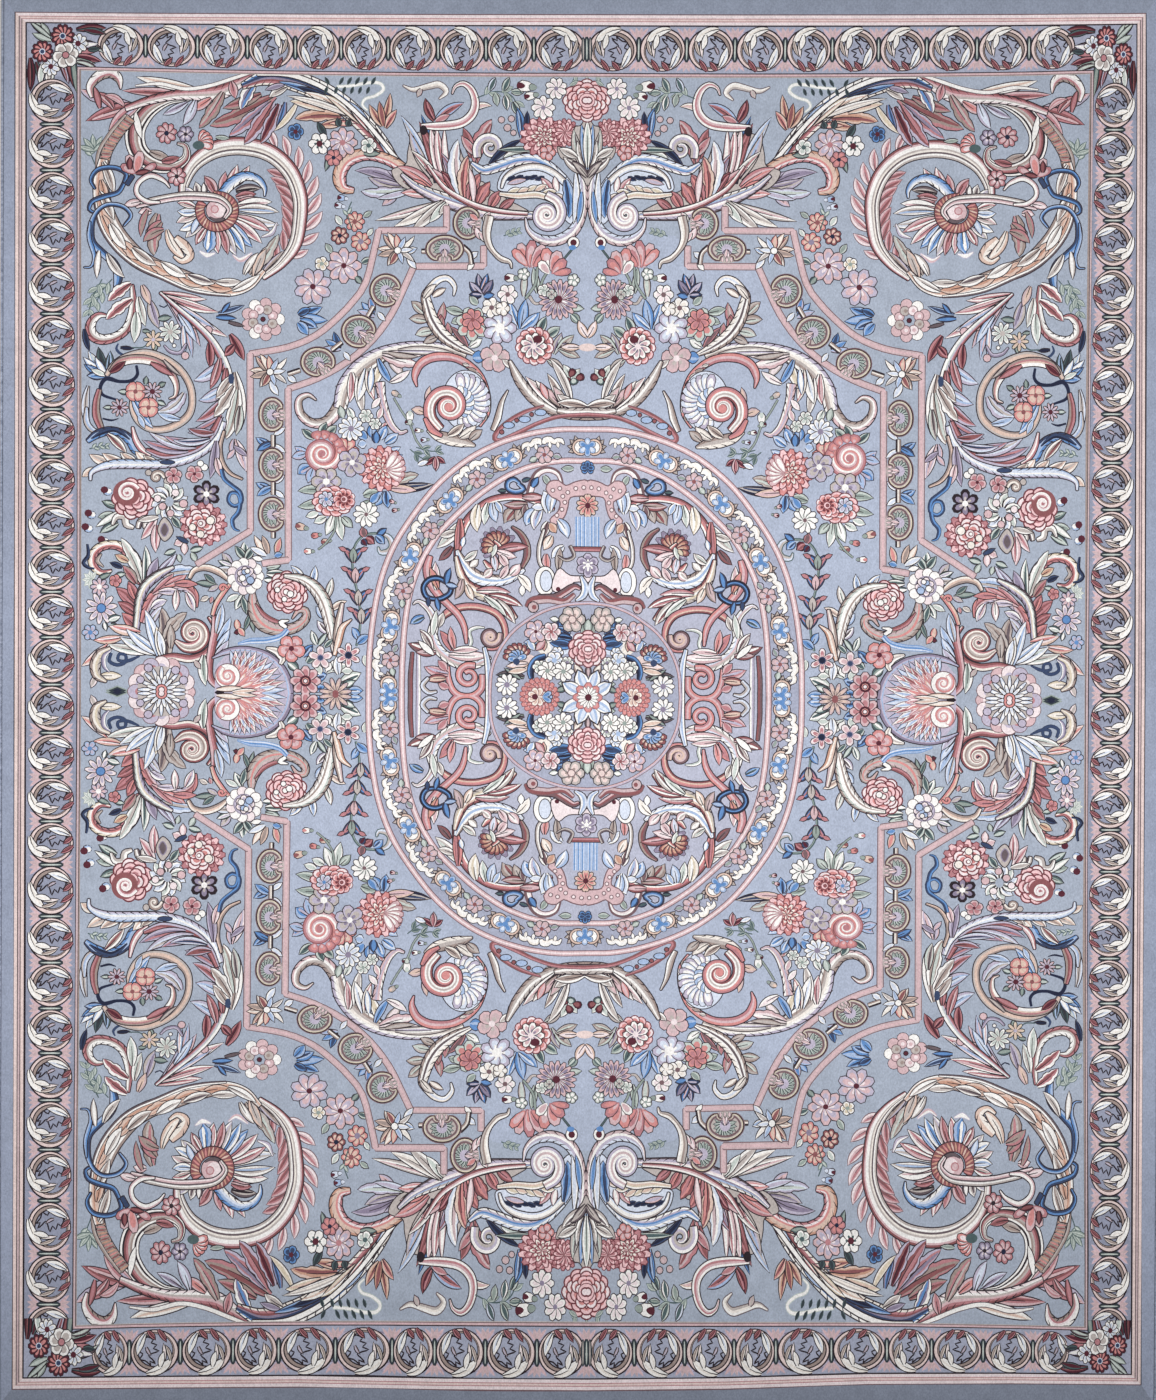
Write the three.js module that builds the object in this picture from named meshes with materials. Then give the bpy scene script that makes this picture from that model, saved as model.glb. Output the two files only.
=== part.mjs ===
// A room-sized hand-knotted carpet lying flat, with an overcast side cord along each long side.
// Millimetres, +Z up. The origin is under the middle of the carpet, on the floor.
import * as THREE from 'three';

// Driving dimensions
const RUG_WIDTH = 2476;        // between the outer faces of the two side cords
const RUG_LENGTH = 3000;
const RUG_THICKNESS = 8;       // knotted foundation and sheared pile together
const PILE_EDGE_ROUND = 2;     // the sheared pile rounds over at the rim
const CORD_WIDTH = 6;          // overcast side cord, across the rug
const CORD_HEIGHT = 6.6;       // a little lower than the pile beside it
const CORD_GAP = 0.3;          // between the cord and the body it is laced to
const HEAD_CREEP = 4.2;        // the head end has crept this far towards +X, the foot end towards -X
const RIGHT_BELLY = 5;         // the +X side bows out this far at mid length
const SIDE_STEPS = 24;         // straight steps along each long side

// How far a point at height y along the rug has crept sideways, on the side given by sign
function sideCreep(sign, y) {
  const along = y / (RUG_LENGTH / 2);
  const belly = sign > 0 ? RIGHT_BELLY * (1 - along * along) : 0;
  return HEAD_CREEP * along + belly;
}

// Points down one side of the rug, inset from its outer edge, from the foot end to the head end
function sideLine(sign, inset, endInset = 0) {
  const half = RUG_LENGTH / 2 - endInset;
  return Array.from({ length: SIDE_STEPS + 1 }, (_, i) => {
    const y = -half + (2 * half * i) / SIDE_STEPS;
    return new THREE.Vector2(sign * (RUG_WIDTH / 2 - inset) + sideCreep(sign, y), y);
  });
}

// The belly moves the box's middle, so everything is shifted back over the origin
const centreShift = (() => {
  const left = Math.min(...sideLine(-1, 0).map((p) => p.x));
  const right = Math.max(...sideLine(1, 0).map((p) => p.x));
  return -(left + right) / 2;
})();

// A closed solid from rings of equal length stacked from the lowest to the highest
function stackedRings(rings) {
  const count = rings[0].points.length;
  const positions = rings.flatMap(({ points, z }) => points.flatMap((p) => [p.x + centreShift, p.y, z]));
  const index = [];
  for (let level = 0; level < rings.length - 1; level += 1) {
    for (let i = 0; i < count; i += 1) {
      const next = (i + 1) % count;
      const low = level * count;
      const high = low + count;
      index.push(low + i, low + next, high + next, low + i, high + next, high + i);
    }
  }
  const cap = THREE.ShapeUtils.triangulateShape(rings[0].points, []);
  const top = (rings.length - 1) * count;
  for (const [a, b, c] of cap) {
    index.push(a, c, b, top + a, top + b, top + c);
  }
  const geometry = new THREE.BufferGeometry();
  geometry.setAttribute('position', new THREE.Float32BufferAttribute(positions, 3));
  geometry.setIndex(index);
  geometry.computeVertexNormals();
  return geometry;
}

// Knotted body: foundation and pile in one slab, its upper rim rounded over
function bodyOutline(inset) {
  const cordRoom = CORD_WIDTH + CORD_GAP;
  const right = sideLine(1, cordRoom + inset, inset);
  const left = sideLine(-1, cordRoom + inset, inset).reverse();
  return [...right, ...left];
}

function knottedBody() {
  const rimSteps = 3;
  const rings = [{ points: bodyOutline(0), z: 0 }];
  for (let i = 0; i <= rimSteps; i += 1) {
    const angle = (Math.PI / 2) * (i / rimSteps);
    rings.push({
      points: bodyOutline(PILE_EDGE_ROUND * (1 - Math.cos(angle))),
      z: RUG_THICKNESS - PILE_EDGE_ROUND * (1 - Math.sin(angle)),
    });
  }
  const material = new THREE.MeshStandardMaterial({ color: 0x9aa6bd, roughness: 0.95, metalness: 0 });
  return named('knotted_body', stackedRings(rings), material);
}

// Overcast side cord: a flattened round wrapped in wool, flat underneath where it lies on the floor
function sideCord(name, sign) {
  const flatShare = 0.35;      // share of the cord's half width that is flat underneath
  const sides = 8;
  const section = [];
  for (let i = 0; i <= sides; i += 1) {
    const start = -Math.PI / 2 + Math.asin(flatShare);
    const angle = start + ((3 * Math.PI) / 2 - Math.asin(flatShare) - start) * (i / sides);
    section.push({
      across: CORD_WIDTH / 2 + (CORD_WIDTH / 2) * Math.cos(angle),
      z: Math.max(0, (CORD_HEIGHT / 2) * (1 + Math.sin(angle))),
    });
  }
  section[0].z = 0;
  section[sides].z = 0;

  const count = section.length;
  const positions = [];
  const rows = SIDE_STEPS + 1;
  const lines = section.map((s) => sideLine(sign, s.across));
  for (let row = 0; row < rows; row += 1) {
    section.forEach((s, i) => positions.push(lines[i][row].x + centreShift, lines[i][row].y, s.z));
  }
  const index = [];
  const quad = (a, b, c, d) => (sign > 0
    ? index.push(a, b, c, a, c, d)
    : index.push(a, c, b, a, d, c));
  for (let row = 0; row < rows - 1; row += 1) {
    for (let i = 0; i < count; i += 1) {
      const next = (i + 1) % count;
      quad(row * count + i, row * count + next, (row + 1) * count + next, (row + 1) * count + i);
    }
  }
  const last = (rows - 1) * count;
  for (let i = 1; i < count - 1; i += 1) {
    if (sign > 0) {
      index.push(0, i + 1, i, last, last + i, last + i + 1);
    } else {
      index.push(0, i, i + 1, last, last + i + 1, last + i);
    }
  }
  const geometry = new THREE.BufferGeometry();
  geometry.setAttribute('position', new THREE.Float32BufferAttribute(positions, 3));
  geometry.setIndex(index);
  geometry.computeVertexNormals();
  const material = new THREE.MeshStandardMaterial({ color: 0x8a95ab, roughness: 0.9, metalness: 0 });
  return named(name, geometry, material);
}

function named(name, geometry, material) {
  const mesh = new THREE.Mesh(geometry, material);
  mesh.name = name;
  return mesh;
}

const rug = new THREE.Group();
rug.add(knottedBody());
rug.add(sideCord('side_cord_left', -1));
rug.add(sideCord('side_cord_right', 1));

export default rug;
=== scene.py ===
import math

import bpy
import numpy as np
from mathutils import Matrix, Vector
from mathutils.geometry import delaunay_2d_cdt


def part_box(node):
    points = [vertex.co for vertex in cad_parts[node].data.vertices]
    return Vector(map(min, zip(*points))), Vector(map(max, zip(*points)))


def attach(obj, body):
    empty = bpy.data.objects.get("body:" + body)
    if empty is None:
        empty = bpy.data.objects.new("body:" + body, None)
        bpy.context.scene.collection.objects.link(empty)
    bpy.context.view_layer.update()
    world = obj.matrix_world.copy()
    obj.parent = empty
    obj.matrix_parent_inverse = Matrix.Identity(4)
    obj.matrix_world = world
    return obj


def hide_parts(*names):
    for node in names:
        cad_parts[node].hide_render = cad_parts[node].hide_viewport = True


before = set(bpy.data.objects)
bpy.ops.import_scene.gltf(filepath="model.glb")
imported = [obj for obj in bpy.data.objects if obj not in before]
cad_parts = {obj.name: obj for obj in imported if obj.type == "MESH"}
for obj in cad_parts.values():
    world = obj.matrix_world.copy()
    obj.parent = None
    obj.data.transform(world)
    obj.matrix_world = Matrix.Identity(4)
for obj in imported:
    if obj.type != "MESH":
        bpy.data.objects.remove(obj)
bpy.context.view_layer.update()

# The studio: the rug lies on a plain pale floor under soft daylight that is a little stronger towards
# its head end, and the camera looks straight down on it.
VIEW_CENTRE = (-0.0026, 0.0011)
VIEW_LENGTH = 2.989
CAMERA_HEIGHT = 7.0
SENSOR_LENGTH = 36.0
RUG_HEIGHT = 0.008

camera_data = bpy.data.cameras.new("camera")
camera_data.sensor_width = SENSOR_LENGTH
camera_data.lens = SENSOR_LENGTH * (CAMERA_HEIGHT - RUG_HEIGHT) / VIEW_LENGTH
camera = bpy.data.objects.new("camera", camera_data)
camera.location = (VIEW_CENTRE[0], VIEW_CENTRE[1], CAMERA_HEIGHT)
bpy.context.scene.collection.objects.link(camera)
bpy.context.scene.camera = camera
bpy.context.scene.view_settings.view_transform = "Standard"

FLOOR_SIZE = 12.0
FLOOR_DROP = 0.0004


def new_material(name, roughness=0.95):
    """A material with its nodes, its shader and its node links."""
    material = bpy.data.materials.new(name)
    material.use_nodes = True
    shader = material.node_tree.nodes["Principled BSDF"]
    shader.inputs["Roughness"].default_value = roughness
    shader.inputs["Specular IOR Level"].default_value = 0.2
    return material, material.node_tree.nodes, material.node_tree.links, shader


def floor():
    mesh = bpy.data.meshes.new("studio_floor")
    half = FLOOR_SIZE / 2
    corners = [(-half, -half), (half, -half), (half, half), (-half, half)]
    mesh.from_pydata([(x, y, -FLOOR_DROP) for x, y in corners], [], [(0, 1, 2, 3)])
    ground = bpy.data.objects.new("studio_floor", mesh)
    bpy.context.scene.collection.objects.link(ground)
    material, nodes, links, shader = new_material("pale_floor", roughness=0.8)
    grain = nodes.new("ShaderNodeTexNoise")
    grain.inputs["Scale"].default_value = 30.0
    ramp = nodes.new("ShaderNodeValToRGB")
    ramp.color_ramp.elements[0].color = (0.70, 0.69, 0.67, 1)
    ramp.color_ramp.elements[1].color = (0.76, 0.75, 0.73, 1)
    links.new(grain.outputs["Fac"], ramp.inputs["Fac"])
    links.new(ramp.outputs["Color"], shader.inputs["Base Color"])
    mesh.materials.append(material)


floor()


def soft_light(name, size, place, power):
    data = bpy.data.lights.new(name, "AREA")
    data.shape = "RECTANGLE"
    data.size = size[0]
    data.size_y = size[1]
    data.energy = power
    light = bpy.data.objects.new(name, data)
    light.location = place
    light.visible_camera = False
    bpy.context.scene.collection.objects.link(light)


soft_light("soft_box", size=(4.4, 3.4), place=(0.0, 0.18, 0.8), power=53.2)
world = bpy.data.worlds.new("studio")
world.use_nodes = True
world.node_tree.nodes["Background"].inputs["Color"].default_value = (0.95, 0.97, 1.0, 1)
world.node_tree.nodes["Background"].inputs["Strength"].default_value = 0.1
bpy.context.scene.world = world


# The knotted body: wool knots on a cotton foundation, sheared level on the face and ribbed with knot
# rows on the back. The pile face itself is laid on it below, one dyed area at a time.
FULL_WIDTH = 2.476
HEAD_CREEP = 0.0042
RIGHT_BELLY = 0.005
CORD_WIDTH = 0.006
CORD_GAP = 0.0003
PILE_ROUND = 0.002
BACK_ROUND = 0.0008
FACE_BED = 0.0009
RIM_STEPS = 116
END_STEPS = 96

body_low, body_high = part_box("knotted_body")
HALF_LENGTH = body_high[1]
PILE_TOP = body_high[2]
CENTRE_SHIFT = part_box("side_cord_left")[0][0] + FULL_WIDTH / 2 + HEAD_CREEP


def side_x(side, y, inset=0.0):
    """How far across the rug's edge is at y; side is -1 on the left and 1 on the right."""
    along = np.asarray(y) / HALF_LENGTH
    belly = RIGHT_BELLY * (1 - along * along) if side > 0 else 0.0
    return side * (FULL_WIDTH / 2 - inset) + HEAD_CREEP * along + belly + CENTRE_SHIFT


def rim(inset):
    """The knotted body's outline, drawn in by inset, from its lower left corner anticlockwise."""
    reach = HALF_LENGTH - inset
    margin = CORD_WIDTH + CORD_GAP + inset
    up = np.linspace(-reach, reach, RIM_STEPS + 1)
    across = np.linspace(0, 1, END_STEPS + 1)
    left = np.column_stack([side_x(-1, up, margin), up])
    right = np.column_stack([side_x(1, up, margin), up])
    foot = left[0] + across[:, None] * (right[0] - left[0])
    head = right[-1] + across[:, None] * (left[-1] - right[-1])
    return np.concatenate([foot[:-1], right[:-1], head[:-1], left[::-1][:-1]])


def add_piece(name, points, faces, material):
    """A new object of the rug that rides with it."""
    mesh = bpy.data.meshes.new(name)
    mesh.from_pydata(np.asarray(points).tolist(), [], [list(map(int, face)) for face in faces])
    mesh.materials.append(material)
    piece = bpy.data.objects.new(name, mesh)
    bpy.context.scene.collection.objects.link(piece)
    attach(piece, "root")
    return piece


def stack(rings):
    """Points and faces of a closed body from equal rings, lowest first, capped at both ends."""
    count = len(rings[0])
    points = np.concatenate(rings)
    faces = []
    for level in range(len(rings) - 1):
        for i in range(count):
            low = level * count + i
            side = level * count + (i + 1) % count
            faces.append((low, side, side + count, low + count))
    faces.append(tuple(range(count))[::-1])
    top = (len(rings) - 1) * count
    faces.append(tuple(range(top, top + count)))
    return points, faces


def level_ring(inset, z):
    outline = rim(inset)
    return np.column_stack([outline, np.full(len(outline), z)])


def knot_grid():
    """Node group: the grid of knots, as a height."""
    group = bpy.data.node_groups.new("knot_grid", "ShaderNodeTree")
    face = group.interface
    face.new_socket("Knots Across", in_out="INPUT", socket_type="NodeSocketFloat")
    face.new_socket("Knots Along", in_out="INPUT", socket_type="NodeSocketFloat")
    face.new_socket("Unevenness", in_out="INPUT", socket_type="NodeSocketFloat")
    face.new_socket("Height", in_out="OUTPUT", socket_type="NodeSocketFloat")
    nodes = group.nodes
    links = group.links
    entry = nodes.new("NodeGroupInput")
    leave = nodes.new("NodeGroupOutput")
    place = nodes.new("ShaderNodeTexCoord")
    sway = nodes.new("ShaderNodeTexNoise")
    sway.inputs["Scale"].default_value = 9.0
    links.new(place.outputs["Object"], sway.inputs["Vector"])
    bend = nodes.new("ShaderNodeVectorMath")
    bend.operation = "MULTIPLY_ADD"
    bend.inputs[1].default_value = (0.006, 0.006, 0.0)
    links.new(sway.outputs["Color"], bend.inputs[0])
    links.new(place.outputs["Object"], bend.inputs[2])
    split = nodes.new("ShaderNodeSeparateXYZ")
    links.new(bend.outputs["Vector"], split.inputs["Vector"])
    waves = []
    for axis, count in (("X", "Knots Across"), ("Y", "Knots Along")):
        turns = nodes.new("ShaderNodeMath")
        turns.operation = "MULTIPLY"
        links.new(split.outputs[axis], turns.inputs[0])
        links.new(entry.outputs[count], turns.inputs[1])
        wave = nodes.new("ShaderNodeMath")
        wave.operation = "SINE"
        links.new(turns.outputs["Value"], wave.inputs[0])
        lift = nodes.new("ShaderNodeMath")
        lift.operation = "ABSOLUTE"
        links.new(wave.outputs["Value"], lift.inputs[0])
        waves.append(lift)
    both = nodes.new("ShaderNodeMath")
    both.operation = "MULTIPLY"
    links.new(waves[0].outputs["Value"], both.inputs[0])
    links.new(waves[1].outputs["Value"], both.inputs[1])
    fuzz = nodes.new("ShaderNodeTexNoise")
    fuzz.inputs["Scale"].default_value = 420.0
    fuzz.inputs["Detail"].default_value = 3.0
    links.new(place.outputs["Object"], fuzz.inputs["Vector"])
    rough = nodes.new("ShaderNodeMath")
    rough.operation = "MULTIPLY_ADD"
    links.new(fuzz.outputs["Fac"], rough.inputs[0])
    links.new(entry.outputs["Unevenness"], rough.inputs[1])
    links.new(both.outputs["Value"], rough.inputs[2])
    links.new(rough.outputs["Value"], leave.inputs["Height"])
    return group


KNOT_GRID = knot_grid()
KNOTS_TO_RADIANS = math.pi
KNOTS_A_METRE = 400


def add_knots(nodes, links, shader, unevenness, strength, depth):
    """Put the knot grid into a material as relief, and hand back the group's node."""
    knots = nodes.new("ShaderNodeGroup")
    knots.node_tree = KNOT_GRID
    knots.inputs["Knots Across"].default_value = KNOTS_A_METRE * KNOTS_TO_RADIANS
    knots.inputs["Knots Along"].default_value = KNOTS_A_METRE * KNOTS_TO_RADIANS
    knots.inputs["Unevenness"].default_value = unevenness
    bump = nodes.new("ShaderNodeBump")
    bump.inputs["Strength"].default_value = strength
    bump.inputs["Distance"].default_value = depth
    links.new(knots.outputs["Height"], bump.inputs["Height"])
    links.new(bump.outputs["Normal"], shader.inputs["Normal"])
    return knots


def back_material():
    """Cotton warps and wefts with the wool knots showing between them."""
    material, nodes, links, shader = new_material("knotted_back")
    knots = add_knots(nodes, links, shader, unevenness=0.5, strength=0.8, depth=0.0008)
    ramp = nodes.new("ShaderNodeValToRGB")
    ramp.color_ramp.elements[0].position = 0.25
    ramp.color_ramp.elements[0].color = (0.62, 0.58, 0.50, 1)
    ramp.color_ramp.elements[1].position = 0.75
    ramp.color_ramp.elements[1].color = (0.34, 0.38, 0.47, 1)
    links.new(knots.outputs["Height"], ramp.inputs["Fac"])
    links.new(ramp.outputs["Color"], shader.inputs["Base Color"])
    return material


body_rings = [
    level_ring(BACK_ROUND, 0.0),
    level_ring(BACK_ROUND * 0.3, BACK_ROUND * 0.3),
    level_ring(0.0, BACK_ROUND),
    level_ring(0.0, PILE_TOP - PILE_ROUND - 0.0001),
    level_ring(PILE_ROUND * 0.8, PILE_TOP - FACE_BED),
]
body_points, body_faces = stack(body_rings)
body = add_piece("carpet_back", body_points, body_faces, back_material())
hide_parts("knotted_body")


# The pile: one wool for every dyed area. Each area carries its own dye as a colour on its corners,
# and the wool adds the uneven dye lots, the fine grain of the cut knots and a soft sheen.
YARNS = {
    "outline": (56, 47, 53),
    "umber": (46, 37, 43),
    "soft": (108, 95, 100),
    "ivory": (252, 249, 246),
    "cream": (246, 238, 230),
    "straw": (224, 210, 188),
    "shell": (236, 214, 210),
    "blush": (245, 230, 232),
    "dusk": (208, 184, 187),
    "pink": (220, 188, 192),
    "rose": (192, 134, 140),
    "brick": (146, 92, 95),
    "clove": (124, 98, 103),
    "wine": (92, 44, 56),
    "garnet": (116, 60, 67),
    "flush": (244, 203, 206),
    "coral": (218, 148, 146),
    "peach": (226, 198, 184),
    "orange": (206, 160, 140),
    "taupe": (168, 150, 144),
    "stone": (196, 186, 182),
    "lilac": (196, 187, 206),
    "mauve": (148, 137, 160),
    "ice": (219, 226, 241),
    "sky": (172, 192, 224),
    "blue": (104, 146, 201),
    "navy": (62, 76, 108),
    "ink": (40, 44, 66),
    "mint": (204, 212, 206),
    "sage": (154, 166, 160),
    "fir": (84, 102, 104),
    "pine": (58, 66, 72),
    "band": (158, 166, 187),
    "head_band": (150, 158, 176),
    # the band at the foot end: painted shade of the leaning pile, darker than the rest of the band
    "shaded_foot_band": (140, 147, 164),
    "border": (172, 176, 196),
    "side_border": (154, 158, 178),
    "field": (172, 181, 197),
    "inner": (179, 188, 208),
    "middle": (187, 189, 207),
}


def linear(colour):
    """The yarn's colour as light, from its shade card value."""
    shade = np.asarray(colour, float) / 255
    return np.where(shade <= 0.04045, shade / 12.92, ((shade + 0.055) / 1.055) ** 2.4)


def pile_material():
    material, nodes, links, shader = new_material("sheared_wool", roughness=1.0)
    shader.inputs["Specular IOR Level"].default_value = 0.1
    shader.inputs["Sheen Weight"].default_value = 0.12
    shader.inputs["Sheen Roughness"].default_value = 0.6
    dye = nodes.new("ShaderNodeVertexColor")
    dye.layer_name = "dye"
    add_knots(nodes, links, shader, unevenness=1.6, strength=0.35, depth=0.0009)
    place = nodes.new("ShaderNodeTexCoord")

    def tone(scale, stretch, dark, light, source):
        noise = nodes.new("ShaderNodeTexNoise")
        noise.inputs["Scale"].default_value = scale
        noise.inputs["Detail"].default_value = 4.0
        squeeze = nodes.new("ShaderNodeMapping")
        squeeze.inputs["Scale"].default_value = stretch
        links.new(place.outputs["Object"], squeeze.inputs["Vector"])
        links.new(squeeze.outputs["Vector"], noise.inputs["Vector"])
        spread = nodes.new("ShaderNodeMapRange")
        spread.inputs["From Min"].default_value = 0.3
        spread.inputs["From Max"].default_value = 0.7
        spread.inputs["To Min"].default_value = dark
        spread.inputs["To Max"].default_value = light
        links.new(noise.outputs["Fac"], spread.inputs["Value"])
        scaled = nodes.new("ShaderNodeVectorMath")
        scaled.operation = "SCALE"
        links.new(source, scaled.inputs[0])
        links.new(spread.outputs["Result"], scaled.inputs["Scale"])
        return scaled.outputs["Vector"]

    colour = tone(3.0, (0.25, 1.0, 1.0), 0.95, 1.05, dye.outputs["Color"])
    colour = tone(26.0, (1.0, 1.0, 1.0), 0.94, 1.06, colour)
    colour = tone(330.0, (1.0, 0.7, 1.0), 0.84, 1.14, colour)
    links.new(colour, shader.inputs["Base Color"])
    return material


WOOL = pile_material()


# The pattern is drawn by hand on squared paper before it is knotted. One square is SQUARE wide; u
# counts squares from the long centre line and v from the cross centre line, for the upper left
# quarter, and the other quarters mirror it.
SQUARE = 0.002135
DESIGN_CENTRE = (0.0177, 0.0064)


# How far the knotting has crept from the drawing, in squares, to the right and towards the head.
# across: height, at far left, left, middle, just right of it, right, right border, far right
CREEP_X_AT = (-574, -440, 0, 60, 440, 509, 574)
CREEP_ACROSS = [
    (-690, -2, -7, -1, -2, -6, -11, -20),
    (-560, -1, -6, -1, -4, -5, -10, -20),
    (-280, 0, -2, -3, -7, -8, -12, -18),
    (0, 0, 1, 1, -6, -5, -10, -16),
    (280, 1, 1, 0, -4, -4, -9, -15),
    (560, 1, 0, 0, -4, -1, -6, -14),
    (690, 1, 0, -1, -1, 0, -3, -15),
]
# along: height, at left, middle, right
CREEP_Y_AT = (-440, 0, 440)
CREEP_ALONG = [
    (-690, -7, -6, -2),
    (-622, 0, -3, -2),
    (-590, 8, 4, 8),
    (-560, 12, 8, 13),
    (-520, 15, 13, 18),
    (-440, 21, 19, 28),
    (-360, 16, 15, 25),
    (-280, 10, 14, 20),
    (-200, 13, 9, 7),
    (-120, 12, 5, 3),
    (-60, 9, 3, 0),
    (0, 6, 0, -3),
    (60, 5, -2, -5),
    (120, 6, -1, -8),
    (200, 4, 0, -7),
    (280, 0, -1, -5),
    (360, 0, -2, -2),
    (440, -2, 0, -3),
    (560, -2, 0, -6),
    (620, 0, 0, -4),
    (690, 0, 0, -1),
]
# the foot hangs lower in its middle: how far, from which height, over how much height, where, how wide
FOOT_SAG = 4.8
SAG_START = 600
SAG_DEPTH = 75
SAG_MIDDLE = 15
SAG_REACH = 205


def creep(table, stations, x, y):
    """Read a creep table between its stations."""
    rows = np.array(table, float)
    columns = [np.interp(y, rows[:, 0], rows[:, k + 1]) for k in range(len(stations))]
    shift = np.zeros_like(x)
    for k, (a, b) in enumerate(zip(stations, stations[1:])):
        share = np.clip((x - a) / (b - a), 0, 1)
        shift = np.where((x >= a) | (k == 0), columns[k] * (1 - share) + columns[k + 1] * share, shift)
    return shift


def on_rug(points, across=1, along=1, drift=None):
    """Places on the rug, in metres, of drawing points laid in one quarter."""
    x = -across * points[:, 0]
    y = along * points[:, 1]
    shift_x = creep(CREEP_ACROSS, CREEP_X_AT, x, y)
    shift_y = creep(drift or CREEP_ALONG, (-440, 440) if drift else CREEP_Y_AT, x, y)
    depth = np.clip((-y - SAG_START) / SAG_DEPTH, 0, 1)
    shift_y -= FOOT_SAG * depth * np.exp(-((x - SAG_MIDDLE) / SAG_REACH) ** 4)
    return np.column_stack([
        DESIGN_CENTRE[0] + SQUARE * (x + shift_x),
        DESIGN_CENTRE[1] + SQUARE * (y + shift_y),
    ])


drawing = []


def area(points, yarn):
    """Lay one dyed area on the drawing, over what is there."""
    drawing.append((np.asarray(points, float), yarn))


def inside(outline, places):
    """Which places lie inside an outline, also where the outline crosses itself."""
    turns = np.zeros(len(places), int)
    ends = np.roll(outline, -1, axis=0)
    for (ax, ay), (bx, by) in zip(outline, ends):
        side = (bx - ax) * (places[:, 1] - ay) - (places[:, 0] - ax) * (by - ay)
        turns += (ay <= places[:, 1]) & (by > places[:, 1]) & (side > 0)
        turns -= (ay > places[:, 1]) & (by <= places[:, 1]) & (side < 0)
    return turns != 0


def triangulate(points, links, edge):
    """Triangles inside edge that keep every link; also which points came from edge itself."""
    found, _, faces, *_ = delaunay_2d_cdt([Vector(p) for p in points], links, [], 0, 1e-3, False)
    found = np.array([tuple(p) for p in found])
    faces = np.array(faces)
    kept = inside(edge, found[faces].mean(axis=1))
    corners = {(round(x, 2), round(y, 2)) for x, y in edge.tolist()}
    on_edge = [(round(x, 2), round(y, 2)) in corners for x, y in found.tolist()]
    return found, faces[kept], on_edge


def owners(found, faces, shapes):
    """The last shape laid over each triangle, or -1 for the bare ground."""
    middles = found[faces].mean(axis=1)
    shown = np.full(len(faces), -1)
    order = np.argsort(middles[:, 0])
    sorted_x = middles[order, 0]
    for index, (outline, _) in enumerate(shapes):
        low = outline.min(axis=0)
        high = outline.max(axis=0)
        first = np.searchsorted(sorted_x, low[0])
        last = np.searchsorted(sorted_x, high[0])
        near = order[first:last]
        near = near[(middles[near, 1] >= low[1]) & (middles[near, 1] <= high[1])]
        if len(near):
            shown[near[inside(outline, middles[near])]] = index
    return shown


def thinned(line, slack):
    """Which points of a line are needed to stay within slack of it."""
    needed = np.zeros(len(line), bool)
    needed[[0, -1]] = True
    spans = [(0, len(line) - 1)]
    while spans:
        first, last = spans.pop()
        if last - first < 2:
            continue
        way = line[last] - line[first]
        length = math.hypot(way[0], way[1])
        off = line[first + 1:last] - line[first]
        if length > 1e-9:
            far = np.abs(off[:, 0] * way[1] - off[:, 1] * way[0]) / length
        else:
            far = np.hypot(off[:, 0], off[:, 1])
        most = int(np.argmax(far))
        if far[most] > slack:
            needed[first + 1 + most] = True
            spans += [(first, first + 1 + most), (first + 1 + most, last)]
    return needed


def colour_lines(faces, marks, on_edge):
    """Chains of points that part differently dyed triangles."""
    sides = np.sort(np.concatenate([faces[:, [0, 1]], faces[:, [1, 2]], faces[:, [2, 0]]]), axis=1)
    marks = np.tile(marks, 3)
    order = np.lexsort((sides[:, 1], sides[:, 0]))
    sides = sides[order]
    marks = marks[order]
    twin = np.append((sides[1:] == sides[:-1]).all(axis=1), False)
    second = np.append(False, twin[:-1])
    plain = twin & (marks == np.roll(marks, -1))
    links = {}
    for a, b in sides[~second & ~plain].tolist():
        links.setdefault(a, []).append(b)
        links.setdefault(b, []).append(a)
    ends = {point for point, near in links.items() if len(near) != 2 or on_edge[point]}
    walked = set()
    chains = []
    for start in list(ends) + list(links):
        for step in links[start]:
            if (start, step) in walked:
                continue
            chain = [start, step]
            walked.update([(start, step), (step, start)])
            while chain[-1] not in ends and chain[-1] != start:
                near = links[chain[-1]]
                chain.append(near[0] if near[0] != chain[-2] else near[1])
                walked.update([(chain[-2], chain[-1]), (chain[-1], chain[-2])])
            chains.append(chain)
    return chains


# how far the line between two yarns may be straightened, in squares
SLACK = 0.09


def cut_up(edge, shapes):
    """Triangles of the ground inside edge, cut by what is seen of every shape, and whose they are."""
    points = []
    links = []
    for outline in [edge] + [shape[0] for shape in shapes]:
        start = len(points)
        points.extend(outline)
        count = len(outline)
        links.extend((start + i, start + (i + 1) % count) for i in range(count))
    found, faces, on_edge = triangulate(points, links, edge)
    shown = owners(found, faces, shapes)
    kinds = {}
    marks = [-1] + [kinds.setdefault(yarn, len(kinds)) for _, yarn in shapes]
    chains = colour_lines(faces, np.array(marks)[shown + 1], on_edge)
    points = list(edge)
    links = [(i, (i + 1) % len(edge)) for i in range(len(edge))]
    for chain in chains:
        line = found[chain]
        line = line[thinned(line, SLACK)]
        links.extend((len(points) + i, len(points) + i + 1) for i in range(len(line) - 1))
        points.extend(line)
    found, faces, _ = triangulate(points, links, edge)
    return found, faces, owners(found, faces, shapes)


def dye_corners(shown, shapes, ground):
    """The dye at each corner of each triangle."""
    cards = np.array([linear(YARNS[yarn]) for yarn in [ground] + [yarn for _, yarn in shapes]])
    dyes = np.ones((len(shown), 3, 4))
    dyes[..., :3] = cards[shown + 1][:, None]
    return dyes


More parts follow.
